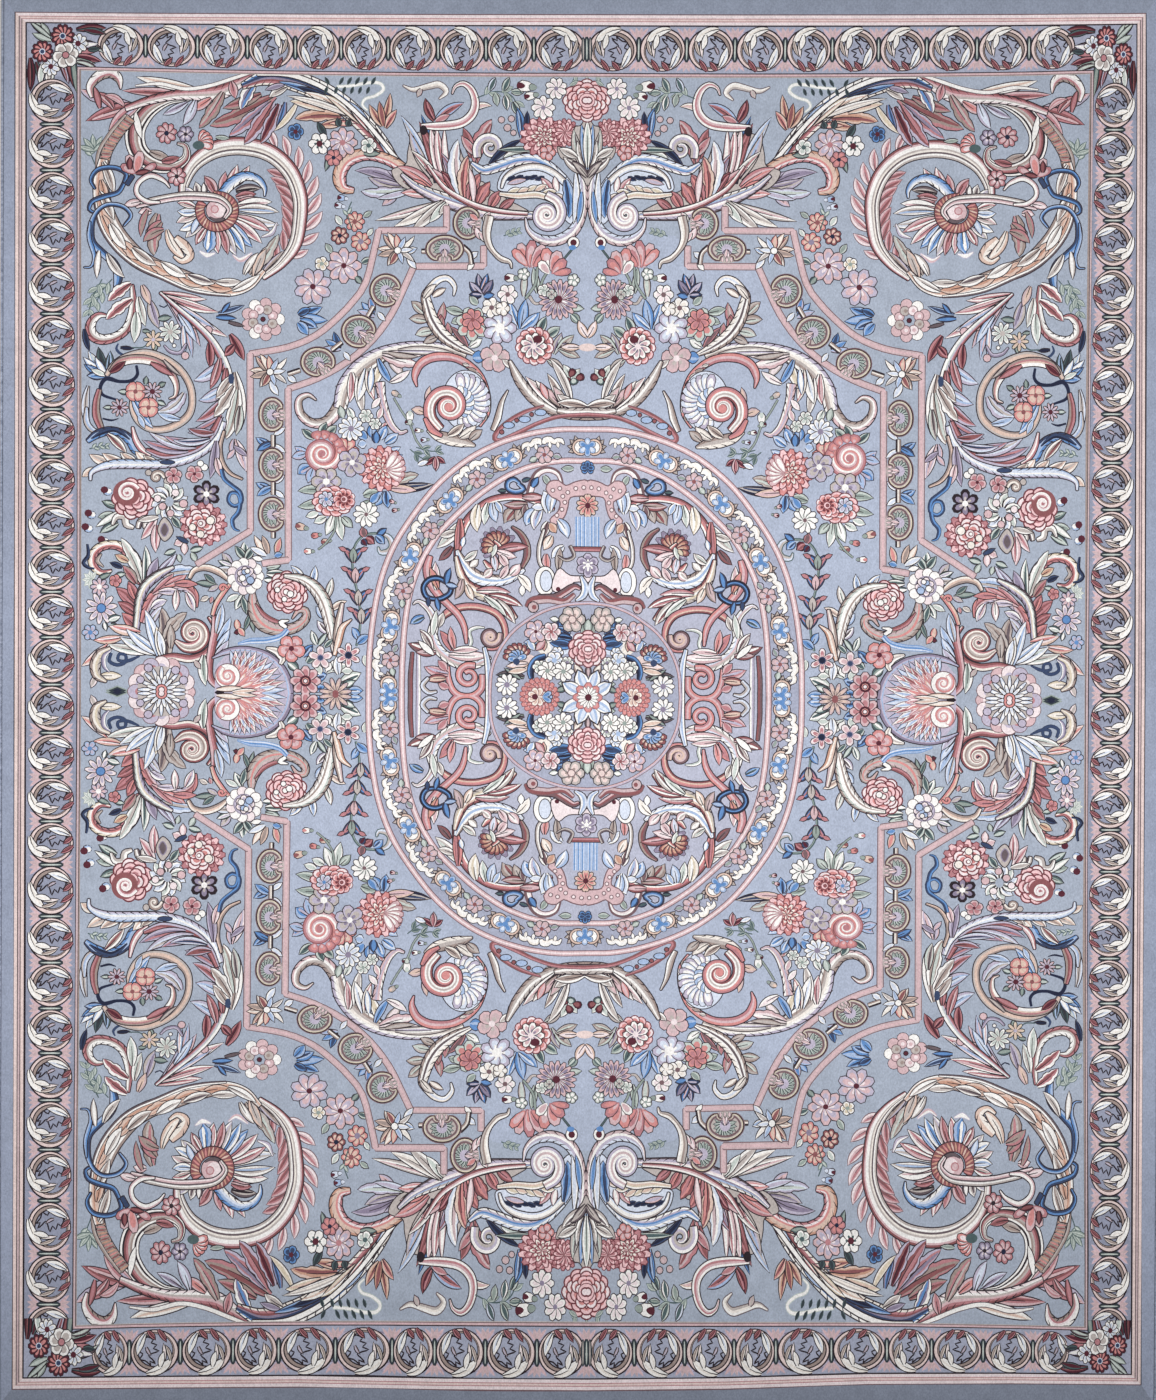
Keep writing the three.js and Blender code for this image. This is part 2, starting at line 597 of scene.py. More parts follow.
def dye_piece(name, points, corners, colours):
    """Add a piece of the pile face with its dyes and its flat plan."""
    piece = add_piece(name, points, corners, WOOL)
    dye = piece.data.color_attributes.new("dye", "FLOAT_COLOR", "CORNER")
    dye.data.foreach_set("color", colours.reshape(-1).astype(np.float32))
    plan = piece.data.uv_layers.new(name="OFBake")
    low = points[:, :2].min(axis=0)
    reach = (points[:, :2].max(axis=0) - low).max()
    plan.data.foreach_set("uv", ((points[corners.reshape(-1), :2] - low) / reach).reshape(-1))


QUARTERS = [(1, 1), (-1, 1), (1, -1), (-1, -1)]


def knot_pile(name, edge, ground, copies=QUARTERS, keep_drawing=False, drift=None):
    """Knot what is on the drawing, inside edge, as one piece of the pile face."""
    edge = np.asarray(edge, float)
    low = edge.min(axis=0)
    high = edge.max(axis=0)
    shapes = [shape for shape in drawing
              if (shape[0].max(axis=0) > low).all() and (shape[0].min(axis=0) < high).all()]
    if not keep_drawing:
        drawing.clear()
    found, faces, shown = cut_up(edge, shapes)
    dyes = dye_corners(shown, shapes, ground)
    places = []
    corners = []
    colours = []
    for across, along in copies:
        flat = on_rug(found, across, along, drift)
        a, b, c = (flat[faces[:, k]] for k in range(3))
        turned = np.cross(b - a, c - a) < 0
        mine = faces.copy()
        mine[turned] = mine[turned][:, ::-1]
        dyed = dyes.copy()
        dyed[turned] = dyed[turned][:, ::-1]
        corners.append(mine + sum(len(p) for p in places))
        places.append(flat)
        colours.append(dyed)
    places = np.concatenate(places)
    corners = np.concatenate(corners)
    _, first, back = np.unique(np.round(places, 6), axis=0, return_index=True, return_inverse=True)
    places = places[first]
    corners = back.reshape(-1)[corners]
    # a triangle that has lost a corner in the rounding is left out
    whole = (corners != np.roll(corners, 1, axis=1)).all(axis=1)
    corners = corners[whole]
    colours = np.concatenate(colours)[whole]
    points = np.column_stack([places, np.full(len(places), PILE_TOP)])
    dye_piece(name, points, corners, colours.reshape(-1, 4))


# The plain outer band: undecorated wool from the rug's edge to the guard stripes, its outer rim
# sheared round where it meets the side cords and the two ends.
BAND_U = 574.0
BAND_V = 683.4
BORDER_U = 561.5
BORDER_V = 671.0
FIELD_U = 507.0
FIELD_V = 620.2
GUARD = 4.6
BOW_BAND = 1.9
BOW_BORDER = 2.7
BOW_FIELD = 6.8


def bowed(points):
    """The end stripes of the drawing rise a little from the middle of the rug to its corners."""
    points = np.asarray(points, float)
    share = np.interp(points[:, 1], [FIELD_V - 60, FIELD_V, BORDER_V, BAND_V],
                      [0, BOW_FIELD, BOW_BORDER, BOW_BAND])
    rise = share * (points[:, 0] / FIELD_U) ** 2
    return np.column_stack([points[:, 0], points[:, 1] + rise])


def straight(a, b, count):
    """Points on a straight line of the drawing, close enough to follow the creep."""
    a = np.asarray(a, float)
    return a + (np.asarray(b, float) - a) * np.linspace(0, 1, count + 1)[:, None]


def frame_line(u, v):
    """From the cross centre line up the long side and in along the end to the long centre line."""
    return np.concatenate([straight((u, 0), (u, v), RIM_STEPS // 2)[:-1],
                           straight((u, v), (0, v), END_STEPS // 2)])


def plain_band():
    inner = []
    for across, along in ((1, -1), (-1, -1), (-1, 1), (1, 1)):
        line = on_rug(bowed(frame_line(BAND_U, BAND_V)), across, along)
        forward = (across > 0) == (along < 0)
        inner.append((line if forward else line[::-1])[:-1])
    inner = np.concatenate(inner)
    inner = np.roll(inner, -np.argmin(inner.sum(axis=1)), axis=0)
    rounding = [(0.0, PILE_TOP - PILE_ROUND), (0.3, PILE_TOP - PILE_ROUND * 0.29), (1.0, PILE_TOP)]
    rings = [level_ring(PILE_ROUND * inset, z) for inset, z in rounding]
    rings.append(np.column_stack([inner, np.full(len(inner), PILE_TOP)]))
    points = np.concatenate(rings)
    count = len(inner)
    faces = []
    for level in range(len(rings) - 1):
        for i in range(count):
            low = level * count + i
            side = level * count + (i + 1) % count
            faces += [(low, side, side + count), (low, side + count, low + count)]
    faces = np.array(faces)
    # the two ends are darker than the sides: the head a little, and the foot more, as painted shade where
    # the leaning pile darkens it
    middles = points[faces].mean(axis=1)
    end = np.abs(middles[:, 1]) - HALF_LENGTH > np.abs(middles[:, 0] - CENTRE_SHIFT) - FULL_WIDTH / 2
    wool = np.full((len(faces), 4), 1.0)
    wool[:, :3] = linear(YARNS["band"])
    wool[end & (middles[:, 1] > 0), :3] = linear(YARNS["head_band"])
    wool[end & (middles[:, 1] < 0), :3] = linear(YARNS["shaded_foot_band"])
    dye_piece("pile_outer_band", points, faces, np.repeat(wool, 3, axis=0))


plain_band()


# The guard stripes: a triple stripe of cream and pink wool outside the border and a single pink one
# inside it, each knotted two to four knots wide between dark lines.
# stripe: outer edge in squares from the outermost line, yarn at the sides, yarn at the ends
OUTER_STRIPES = [
    (0.0, "outline", "clove"),
    (1.1, "shell", "blush"),
    (4.3, "outline", "rose"),
    (5.1, "dusk", "shell"),
    (7.1, "outline", "rose"),
    (7.9, "shell", "blush"),
    (11.0, "umber", "outline"),
    (12.4, None, None),
]
INNER_STRIPES = [
    (0.0, "umber", "outline"),
    (1.1, "dusk", "pink"),
    (3.1, "outline", "clove"),
    (3.8, "taupe", "stone"),
    (GUARD, None, None),
]


def guard(name, u, v, stripes):
    lines = [bowed(frame_line(u - inset, v - inset)) for inset, _, _ in stripes]
    corner = RIM_STEPS // 2
    for outer, inner, (_, side_yarn, end_yarn) in zip(lines, lines[1:], stripes):
        area(np.concatenate([outer[:corner + 1], inner[corner::-1]]), side_yarn)
        area(np.concatenate([outer[corner:], inner[:corner - 1:-1]]), end_yarn)
    edge = np.concatenate([lines[0], lines[-1][::-1]])
    knot_pile(name, edge, "outline")


guard("pile_outer_guard", BAND_U, BAND_V, OUTER_STRIPES)
guard("pile_inner_guard", FIELD_U + GUARD, FIELD_V + GUARD, INNER_STRIPES)


# The main border: a chain of ring-shaped acanthus scrolls tied end to end by dark clasps, with pink
# and lavender rays filling the corners between them.
def spin(points, centre, inward, onward):
    """Turn a motif drawn round its own centre into its place; inward and onward are its axes."""
    points = np.asarray(points, float)
    return np.asarray(centre) + points[:, :1] * np.asarray(inward) + points[:, 1:] * np.asarray(onward)


def oval(a, b, ra, rb=None, count=None):
    """Points round an oval."""
    rb = ra if rb is None else rb
    count = count or int(np.clip(math.tau * max(ra, rb) / 3.2, 8, 48))
    angle = np.radians(360.0 * np.arange(count) / count)
    return np.column_stack([a + ra * np.cos(angle), b + rb * np.sin(angle)])


def smooth(points, step=3.0):
    """A smooth line through a few points."""
    points = np.asarray(points, float)
    ends = np.concatenate([[2 * points[0] - points[1]], points, [2 * points[-1] - points[-2]]])
    line = []
    for p0, p1, p2, p3 in zip(ends, ends[1:], ends[2:], ends[3:]):
        count = max(1, math.ceil(np.linalg.norm(p2 - p1) / step))
        t = np.linspace(0, 1, count, endpoint=False)[:, None]
        line.append(0.5 * (2 * p1 + (p2 - p0) * t + (2 * p0 - 5 * p1 + 4 * p2 - p3) * t ** 2
                           + (3 * p1 - p0 - 3 * p2 + p3) * t ** 3))
    return np.concatenate(line + [points[-1:]])


def beside(line, amounts):
    """The line moved sideways by amounts, to its right on the drawing."""
    way = np.gradient(line, axis=0)
    way /= np.maximum(np.linalg.norm(way, axis=1, keepdims=True), 1e-9)
    return line + np.column_stack([-way[:, 1], way[:, 0]]) * np.asarray(amounts)[:, None]


def spread_out(line, values):
    """Values given at even distances along a line, read at each of its points."""
    steps = np.linalg.norm(np.diff(line, axis=0), axis=1)
    share = np.concatenate([[0], np.cumsum(steps)]) / max(steps.sum(), 1e-9)
    return np.interp(share, np.linspace(0, 1, len(values)), values)


def stripe(line, half, yarns):
    """Lay yarns side by side along a line, from its left to its right."""
    yarns = yarns.split()
    share = np.linspace(-1, 1, len(yarns) + 1)
    first = 0
    while first < len(yarns):
        last = first
        while last + 1 < len(yarns) and yarns[last + 1] == yarns[first]:
            last += 1
        low = beside(line, half * share[first])
        high = beside(line, half * share[last + 1])
        area(np.concatenate([high, low[::-1]]), yarns[first])
        first = last + 1


def stem(points, widths, yarns, edge=1.1, step=3.0, line_yarn="outline", cut=True):
    """A striped band along a smooth line. Yarns run across it; a repeated one is a wider stripe."""
    line = smooth(points, step)
    half = spread_out(line, widths) / 2
    if edge:
        first = line[1:2] - line[:1]
        last = line[-1:] - line[-2:-1]
        start = line[:1] - first / max(np.linalg.norm(line[1] - line[0]), 1e-9) * edge
        end = line[-1:] + last / max(np.linalg.norm(line[-1] - line[-2]), 1e-9) * edge
        longer = np.concatenate([start, line, end])
        wide = np.concatenate([half[:1] * 0.6, half, half[-1:] * 0.6]) + edge
        wide[0] -= edge * 0.5
        wide[-1] -= edge * 0.5
        area(np.concatenate([beside(longer, wide), beside(longer, -wide)[::-1]]), line_yarn)
    stripe(line, half, yarns)
    if edge and cut and max(widths) >= 8.5:
        # slanting cuts from both edges part a broad stem into the lobes of an acanthus leaf
        for side in (-1, 1):
            rim = beside(line, side * half)
            core = beside(line, side * half * 0.35)
            for i in range(1, len(line) - 3, 3):
                way = core[i + 2] - rim[i]
                across = np.array([-way[1], way[0]]) / np.linalg.norm(way)
                if half[i] > 3.4:
                    area([rim[i] + across * 0.6, core[i + 2], rim[i] - across * 0.6], line_yarn)


def heading(angle):
    """A direction on the drawing: 0 points right, 90 up, 180 left."""
    return np.array([-math.cos(math.radians(angle)), math.sin(math.radians(angle))])


def curve(base, angle, length, bend=0.0):
    """Points from base, starting at angle and turned by bend at the far end."""
    count = max(3, min(9, math.ceil(length / 3.5)))
    turns = angle + bend * (np.arange(count) + 0.5) / count
    steps = np.array([heading(turn) for turn in turns]) * length / count
    return np.concatenate([[np.asarray(base, float)], np.asarray(base) + np.cumsum(steps, axis=0)])


def leaf(u, v, angle, length, width, yarns, bend=0.0, edge=1.0, line_yarn="outline", place=None,
         shape=(0.25, 0.75, 1.0, 0.96, 0.64, 0.0)):
    """A leaf from its base, pointed at the tip; yarns are its rim, its face and its streak."""
    line = curve((u, v), angle, length, bend)
    if place:
        line = curve((0, 0), angle, length, bend)
        line = np.column_stack([-line[:, 0], line[:, 1]]) + (u, v)
        line = spin(line, *place)
    half = spread_out(line, shape) * width / 2
    if length > 24 and width > 11 and shape[0] < 0.5:
        # a long leaf is lobed: every third point is drawn in, and the lobes lean to the tip
        half[3:-1:3] *= 0.78
        line[2:-1:3] += (line[3::3] - line[2:-1:3])[:len(line[2:-1:3])] * 0.3
    if edge:
        way = line[-1] - line[-2]
        tip = line[-1:] + way / np.linalg.norm(way) * edge * 1.2
        longer = np.concatenate([line[:-1], tip])
        wide = np.append(half[:-1] + edge, 0.05)
        area(np.concatenate([beside(longer, wide), beside(longer, -wide)[::-1]]), line_yarn)
    last = None
    for layer, yarn in enumerate(yarns.split()):
        if yarn != last:
            kept = line[:len(line) - layer // 2] if len(line) > 4 else line
            fat = half[:len(kept)] * (1.0, 0.6, 0.28)[layer]
            off = np.full(len(kept), 0.11 * layer * width / 2 * (-1 if bend > 0 else 1))
            area(np.concatenate([beside(kept, off + fat), beside(kept, off - fat)[::-1]]), yarn)
        last = yarn
    if edge and width >= 6.5 and length >= 13:
        # the rib of a broad leaf, one knot wide
        rib = line[:max(3, len(line) * 3 // 4)]
        rib = rib[::2] if len(rib) > 4 else rib
        thin = np.linspace(0.55, 0.3, len(rib))
        area(np.concatenate([beside(rib, thin), beside(rib, -thin)[::-1]]), line_yarn)


def patch(points, yarn, line_yarn="outline", edge=1.1, step=3.0, place=None):
    """A lobed shape through a few corners, with its outline."""
    points = np.asarray(points, float)
    loop = smooth(np.concatenate([points[-1:], points, points[:2]]), step)
    first = np.argmin(np.linalg.norm(loop - points[0], axis=1))
    near = np.linalg.norm(loop - points[0], axis=1)
    last = len(loop) - 1 - np.argmin(near[::-1])
    loop = loop[first:last]
    if place:
        loop = spin(loop, *place)
    area(loop, yarn)
    if edge:
        closed = np.concatenate([loop, loop[:2]])
        wide = np.full(len(closed), edge / 2)
        area(np.concatenate([beside(closed, wide), beside(closed, -wide)[::-1]]), line_yarn)


def drawn(kind, *rows, **same):
    """Draw a table of like motifs; each row holds one motif's arguments in order."""
    for row in rows:
        kind(*row, **same)


ROUNDEL = 22.4
CLASP_REACH = 13.0


def acanthus_ring(place):
    """One ring scroll round its centre: a is inward across the border, b is onward along it."""
    def disc(a, b, ra, rb, yarn):
        area(spin(oval(a, b, ra, rb), *place), yarn)

    disc(0, 0, ROUNDEL, ROUNDEL * 0.95, "umber")
    disc(0.2, 0.1, ROUNDEL - 1.3, ROUNDEL * 0.95 - 1.3, "shell")
    disc(0.8, 0.6, ROUNDEL - 3.4, ROUNDEL * 0.95 - 3.3, "umber")
    disc(1.0, 0.4, ROUNDEL - 4.3, ROUNDEL * 0.95 - 4.1, "taupe")
    disc(1.5, -0.4, ROUNDEL - 5.9, ROUNDEL * 0.95 - 5.6, "umber")
    disc(1.8, -0.6, ROUNDEL - 6.8, ROUNDEL * 0.95 - 6.5, "border")
    # the grey lobed leaf, hooked at its top
    patch([(15, 6), (12, 9), (7, 10.5), (1, 14), (-1.5, 10), (-7, 12.5), (-8.5, 8), (-13, 3), (-9, 4),
           (-11.5, -1), (-7, 2), (-3.5, 5), (-1, 1), (1, -4), (3.5, 1), (7, -2), (9, 3), (12, 1)],
          "border", line_yarn="umber", edge=1.5, step=3, place=place)
    # across, along, angle, length, width, yarns, bend
    drawn(leaf,
          (18, 8, 150, 22, 6.6, "ivory ivory ice", 24), (5, 7, 190, 9, 2.4, "taupe lilac", 30),
          (-13, -7, -14, 21, 3.2, "cream blush", 24), (-21, 7, -84, 28, 8.2, "ivory ivory cream", 58),
          (-15, -5, -4, 15, 5.0, "ivory ivory cream", -14), (-9, -14, 4, 16, 3.0, "cream taupe", 24),
          (21, 6, 222, 11, 4.4, "rose wine brick", -10), (22, -3, 216, 14, 4.4, "rose wine brick", -10),
          edge=1.0, line_yarn="umber", place=place)


def clasp(place):
    """The dark clasp between two rings, with rays fanning out at each end."""
    for side in (-1, 1):
        # angle from the border's line, length, width, yarns
        for angle, length, width, yarns in [
            (62, 18, 5.6, "mauve lilac"),
            (-62, 18, 5.6, "mauve lilac"),
            (40, 15, 5.0, "lilac pink"),
            (-40, 15, 5.0, "lilac pink"),
            (14, 12.5, 4.4, "pink dusk"),
            (-14, 12.5, 4.4, "pink dusk"),
        ]:
            turned = angle if side > 0 else 180 - angle
            leaf(side * (CLASP_REACH - 3), 0, turned, length, width, yarns, edge=0, place=place)
    bar = [(-12.6, -1.2), (-9, -2.9), (0, -2.1), (9, -2.9), (12.6, -1.2), (12.6, 1.2), (9, 2.9),
           (0, 2.1), (-9, 2.9), (-12.6, 1.2)]
    area(spin(bar, *place), "pine")
    area(spin(oval(0, 0, CLASP_REACH - 2.5, 0.8), *place), "mint")


def ring_row(clasps, place_at, across):
    """Rings between clasps along a border, with no clasp at its start.

    place_at gives the centre, the way inward and the way onward at a height of the border.
    """
    for along in clasps[1:]:
        inward, onward = place_at(along)[1:]
        clasp((place_at(along)[0], inward, onward))
    for first, last in zip(clasps, clasps[1:]):
        centre, inward, onward = place_at((first + last) / 2)
        size = abs(first - last) / 2 / (ROUNDEL * 0.95 + 0.9)
        acanthus_ring((centre, np.array(inward) * across, np.array(onward) * size))


SIDE_END = 621.0
RING_LINE_U = 536.3
# the heights of the clasps down the left side; the knotter let them drift
SIDE_CLASPS = (620, 571, 525, 480, 432, 382, 335, 285, 237, 191, 147, 102, 56, 8, -40, -84, -128, -171,
               -221, -266, -310, -353, -400, -450, -502, -556, -607, -652)

# how far the rings have crept along the two sides: height, at left, at right
RING_DRIFT = [
    (-622, 0, -2),
    (-563, 0, -1),
    (-463, -2, 3),
    (-363, -3, 3),
    (-263, 1, 5),
    (-163, 4, -4),
    (0, 5, -6),
    (157, 3, -4),
    (257, 4, -2),
    (357, 2, -1),
    (457, 1, -3),
    (557, 3, -3),
    (620, 0, -4),
]


def corner_leaves():
    """The leaves of the corner posies that hang over both borders."""
    drawn(leaf,
          (558, 640, -84, 34, 7, "wine umber brick", -12), (552, 636, -74, 24, 6, "fir wine"),
          (546, 634, -100, 22, 6, "ivory mint", 10), (538, 636, -80, 20, 6, "mint ivory soft", -10),
          (529, 640, -60, 28, 7, "wine lilac brick", -20), (522, 640, -68, 32, 6, "wine brick", -14),
          (516, 642, -80, 38, 6, "fir sage", -6), (540, 626, -96, 12, 5, "ivory stone", 10),
          line_yarn="umber")


def side_border():
    edge = np.concatenate([straight((BORDER_U, -SIDE_END), (BORDER_U, SIDE_END), RIM_STEPS),
                           straight((FIELD_U + GUARD, SIDE_END), (FIELD_U + GUARD, -SIDE_END), RIM_STEPS)])
    corner_leaves()
    ring_row(SIDE_CLASPS, lambda v: ((RING_LINE_U, v), (-1, 0), (0, 1)), 1.02)
    # the ground of the two sides is knotted in a deeper lot than that of the ends
    drawing[:] = [(points, yarn.replace("border", "side_border")) for points, yarn in drawing]
    knot_pile("pile_side_borders", edge, "side_border", copies=[(1, 1), (-1, 1)], drift=RING_DRIFT)


side_border()


# The end borders: the same chain of rings turned to run across the head and the foot, mirrored about
# the long centre line, and a posy of daisies in each corner square.
def petal(u, v, angle, length, width, yarns, edge=0.8, line_yarn="outline"):
    """A round-ended petal; yarns are its rim, its face and its inner streak."""
    rim_yarn, *inner = yarns.split()
    turn = np.linspace(0, math.tau, 9, endpoint=False)
    out = heading(angle)
    side = np.array([-out[1], out[0]])
    along = (1 - np.cos(turn)) / 2
    across = np.sin(turn) * (0.32 + 0.3 * along)

    def blob(low, high, fat, yarn):
        area(np.array([u, v]) + np.outer(low + (high - low) * along, out) + np.outer(across * fat, side),
             yarn)

    if edge:
        blob(-edge * 0.3, length + edge, width + 2.4 * edge, line_yarn)
    blob(0, length, width, rim_yarn)
    if inner:
        blob(length * 0.08, length * 0.8, width * 0.66, inner[0])
    if len(inner) > 1:
        blob(length * 0.1, length * 0.5, width * 0.3, inner[1])


def bloom(u, v, r, count, yarns, eye="wine", eye_share=0.24, turn=0.0, fat=0.88, edge=0.8, squash=1.0,
          eye_rim=None):
    """An open flower: petals round an eye."""
    mark = len(drawing)
    for i in range(count):
        petal(u, v, turn + 360 * i / count, r, fat * math.tau * r * 0.78 / count, yarns, edge=edge)
    if eye_rim:
        area(oval(u, v, r * eye_share + 1.0), eye_rim)
    area(oval(u, v, r * eye_share), eye)
    for points, _ in drawing[mark:]:
        points[:, 1] = v + (points[:, 1] - v) * squash


RING_LINE_V = 648.2
HEAD_CLASPS = (492, 442, 390, 340, 292, 246, 199, 149, 101, 53, 0)
FOOT_CLASPS = (492, 452, 401, 349, 304, 248, 192, 150, 100, 49, 0)


def bow_drawing():
    for points, _ in drawing:
        points[:] = bowed(points)


def corner_posy():
    """Daisies, leaves and feathered sprays round a white flower."""
    drawn(leaf,
          (537, 661, 134, 21, 6, "mint sage", 10), (536, 661, 150, 24, 6, "mint sage mint"),
          (537, 657, 164, 20, 6, "sage mint", -10), (539, 662, 118, 15, 5, "sage mint", 10),
          (538, 660, 142, 26, 4, "sage mint"), (512, 668, 10, 30, 7, "wine brick fir", -14),
          (504, 668, -6, 22, 6, "fir wine", -10), (505, 657, -20, 24, 5, "soft mint", -20),
          (510, 652, 0, 20, 6, "lilac ivory", 10), (516, 645, 15, 22, 7, "wine rose", -30),
          (512, 642, -8, 26, 6, "rose wine", -10), (518, 640, -26, 26, 6, "sage soft mint", 26),
          (511, 636, -6, 22, 4, "soft mint", -30), (500, 648, 0, 12, 5, "fir pine", 10),
          line_yarn="umber")
    corner_leaves()
    drawn(bloom,
          (510, 654, 10, 9, "ivory ice", "wine", 0.3), (537.5, 631, 9.5, 9, "ivory ice", "wine", 0.3, 20),
          (525.5, 661.5, 12, 11, "wine coral rose", "navy", 0.2, 8, 1.0, 0.8, 1, "ice"),
          (546, 646, 11, 10, "wine coral rose", "navy", 0.2, 0, 1.0, 0.8, 1, "ice"),
          (522.5, 642.5, 13, 6, "ivory stone", "rose", 0.24, 12, 1.0, 0.9, 1, "outline"))


def end_border(name, clasps, along):
    head = bowed(straight((0, BORDER_V), (BORDER_U, BORDER_V), END_STEPS // 2))
    foot = bowed(straight((FIELD_U + GUARD, FIELD_V + GUARD), (0, FIELD_V + GUARD), END_STEPS // 2))
    edge = np.concatenate([head, straight((BORDER_U, SIDE_END + 40), (BORDER_U, SIDE_END), 4),
                           [(FIELD_U + GUARD, SIDE_END)], foot])
    ring_row(clasps, lambda u: ((u, RING_LINE_V), (0, -1), (1, 0)), 0.98)
    for end in (3.5, -3.5):
        area(oval(end, RING_LINE_V, 2.2, 12.6), "pine")
        area(oval(end, RING_LINE_V, 0.7, 10.8), "stone")
    bow_drawing()
    area([(BORDER_U + 5, BORDER_V + 9), (494, BORDER_V + 9), (494, 660), (488, 650), (489, 640), (495, 620),
          (BORDER_U + 5, 618)], "border")
    corner_posy()
    knot_pile(name, edge, "border", copies=[(1, along), (-1, along)])


end_border("pile_head_border", HEAD_CLASPS, 1)
end_border("pile_foot_border", FOOT_CLASPS, -1)


# The outer field: large acanthus scrolls, sprays and posies laid on grey-blue wool between the inner
# guard and the ribbon frame. Stems and leaves are outlined first, then striped from dark to light.
def fingers(points, side, count, reach, yarns, lean=48, fat=0.42, curl=-26, start=0.0,
            swell=(0.6, 1.0, 0.9, 0.5), edge=0.9, line_yarn="outline"):
    """Acanthus fingers that leave a line on one side, 1 for its right and -1 for its left."""
    line = smooth(points, 1.5)
    steps = np.linalg.norm(np.diff(line, axis=0), axis=1)
    share = np.concatenate([[0], np.cumsum(steps)]) / steps.sum()
    choices = [yarns] if isinstance(yarns, str) else yarns
    for i in reversed(range(count)):
        t = start + (1 - start) * (i + 0.5) / count
        at = np.array([np.interp(t, share, line[:, 0]), np.interp(t, share, line[:, 1])])
        near = min(np.searchsorted(share, t), len(line) - 1)
        way = line[near] - line[near - 1]
        angle = math.degrees(math.atan2(way[1], -way[0]))
        length = reach * np.interp((i + 0.5) / count, np.linspace(0, 1, len(swell)), swell)
        leaf(at[0], at[1], angle - side * lean, length, length * fat, choices[i % len(choices)],
             bend=side * curl, edge=edge, line_yarn=line_yarn)


def blade(u, v, tip_u, tip_v, width, yarns, bend=0.0, **looks):
    """A leaf laid between its base and its tip."""
    way = np.array([tip_u - u, tip_v - v], float)
    chord = np.linalg.norm(way)
    half_turn = max(abs(math.radians(bend)) / 2, 1e-3)
    angle = math.degrees(math.atan2(way[1], -way[0])) - bend / 2
    leaf(u, v, angle, chord * half_turn / math.sin(half_turn), width, yarns, bend=bend, **looks)


def posy(yarn, *places):
    """Round knots of one colour: u, v, radius."""
    for u, v, r in places:
        area(oval(u, v, r + 0.9), "outline")
        area(oval(u, v, r), yarn)


def mum(u, v, r, yarns="garnet rose flush", rows=4, squash=1.0):
    """A chrysanthemum: rows of narrow petals, the outer ones the longest and the inner ones palest."""
    deep, face, light = yarns.split()
    mark = len(drawing)
    area(oval(u, v, r * 0.9), deep)
    for row in range(rows):
        reach = r * (1 - 0.24 * row)
        count = 15 - 2 * row
        for i in range(count):
            pale = "cream" if row > 1 else light
            petal(u, v, 360 * (i + 0.5 * (row % 2)) / count + 7 * row, reach, reach * 0.33,
                  f"{pale} {face}" if (i + row) % 2 else f"{face} {pale}", edge=0.85, line_yarn=deep)
    for points, _ in drawing[mark:]:
        points[:, 1] = v + (points[:, 1] - v) * squash


def rose(u, v, r, yarns="garnet rose flush", rows=3, heart="blush", squash=1.0, turn=20.0, count=9):
    """A full rose or peony: rows of cupped petals, each row smaller and turned, round a curled heart."""
    deep, face, light = yarns.split()
    mark = len(drawing)
    area(oval(u, v, r * 0.8), deep)
    for row in range(rows):
        reach = r * (1 - row / (rows + 0.7))
        number = max(5, count - 2 * row)
        for i in range(number):
            angle = turn + 37 * row + 360 * i / number
            out = heading(angle)
            at = np.array([u, v]) + out * reach * 0.68
            size = reach * 3.2 / number
            # each cupped petal is pale at its rim and deep towards the heart
            for inward, share, yarn in ((0, 1.1, deep), (0, 0.9, light if (i + row) % 3 else "blush"),
                                        (0.26, 0.72, face), (0.5, 0.4, deep)):
                place = at - out * size * inward
                area(oval(place[0], place[1], size * share), yarn)
    core = r * 0.3
    area(oval(u, v, core + 0.8), deep)
    area(oval(u, v, core), light)
    area(oval(u + core * 0.15, v, core * 0.62), deep)
    area(oval(u + core * 0.2, v, core * 0.4), heart)
    if squash != 1.0:
        for points, _ in drawing[mark:]:
            points[:, 1] = v + (points[:, 1] - v) * squash


def coil(u, v, outer, inner, start, turns):
    """Points of a spiral that winds in from outer to inner; turns below 0 winds clockwise."""
    t = np.linspace(0, 1, max(6, math.ceil(abs(turns) * 10)))
    radius = outer * (inner / outer) ** (t ** 0.85)
    angle = np.radians(start + 360 * turns * t)
    return [(u - a, v + b) for a, b in zip(radius * np.cos(angle), radius * np.sin(angle))]


def sprig(points, pairs, size, yarns="sage mint"):
    """A thin stem with pairs of small leaves and one at its tip."""
    stem(points, [1.2, 1.2], "fir", edge=0)
    for side, start in ((1, 0.1), (-1, 0.0)):
        fingers(points, side, pairs, size, yarns, lean=42, fat=0.42, curl=15, start=start,
                swell=(1, 1, 0.8), edge=0.7, line_yarn="fir")


def rope(points, width, pitch, yarns):
    """A twisted rope: a line of slanting strands."""
    stem(points, [width, width], yarns[0], edge=0.9)
    line = smooth(points, pitch)
    for k, (a, b) in enumerate(zip(line[:-1], line[1:])):
        way = b - a
        side = np.array([-way[1], way[0]]) / max(np.linalg.norm(way), 1e-9)
        middle = (a + b) / 2
        first = middle - side * width * 0.45 - way * 0.35
        last = middle + side * width * 0.45 + way * 0.35
        fat = way * 0.3
        area([first - fat * 0.4, middle - fat, last - fat * 0.4, last + fat * 0.4, middle + fat,
              first + fat * 0.4], yarns[1 + k % (len(yarns) - 1)])


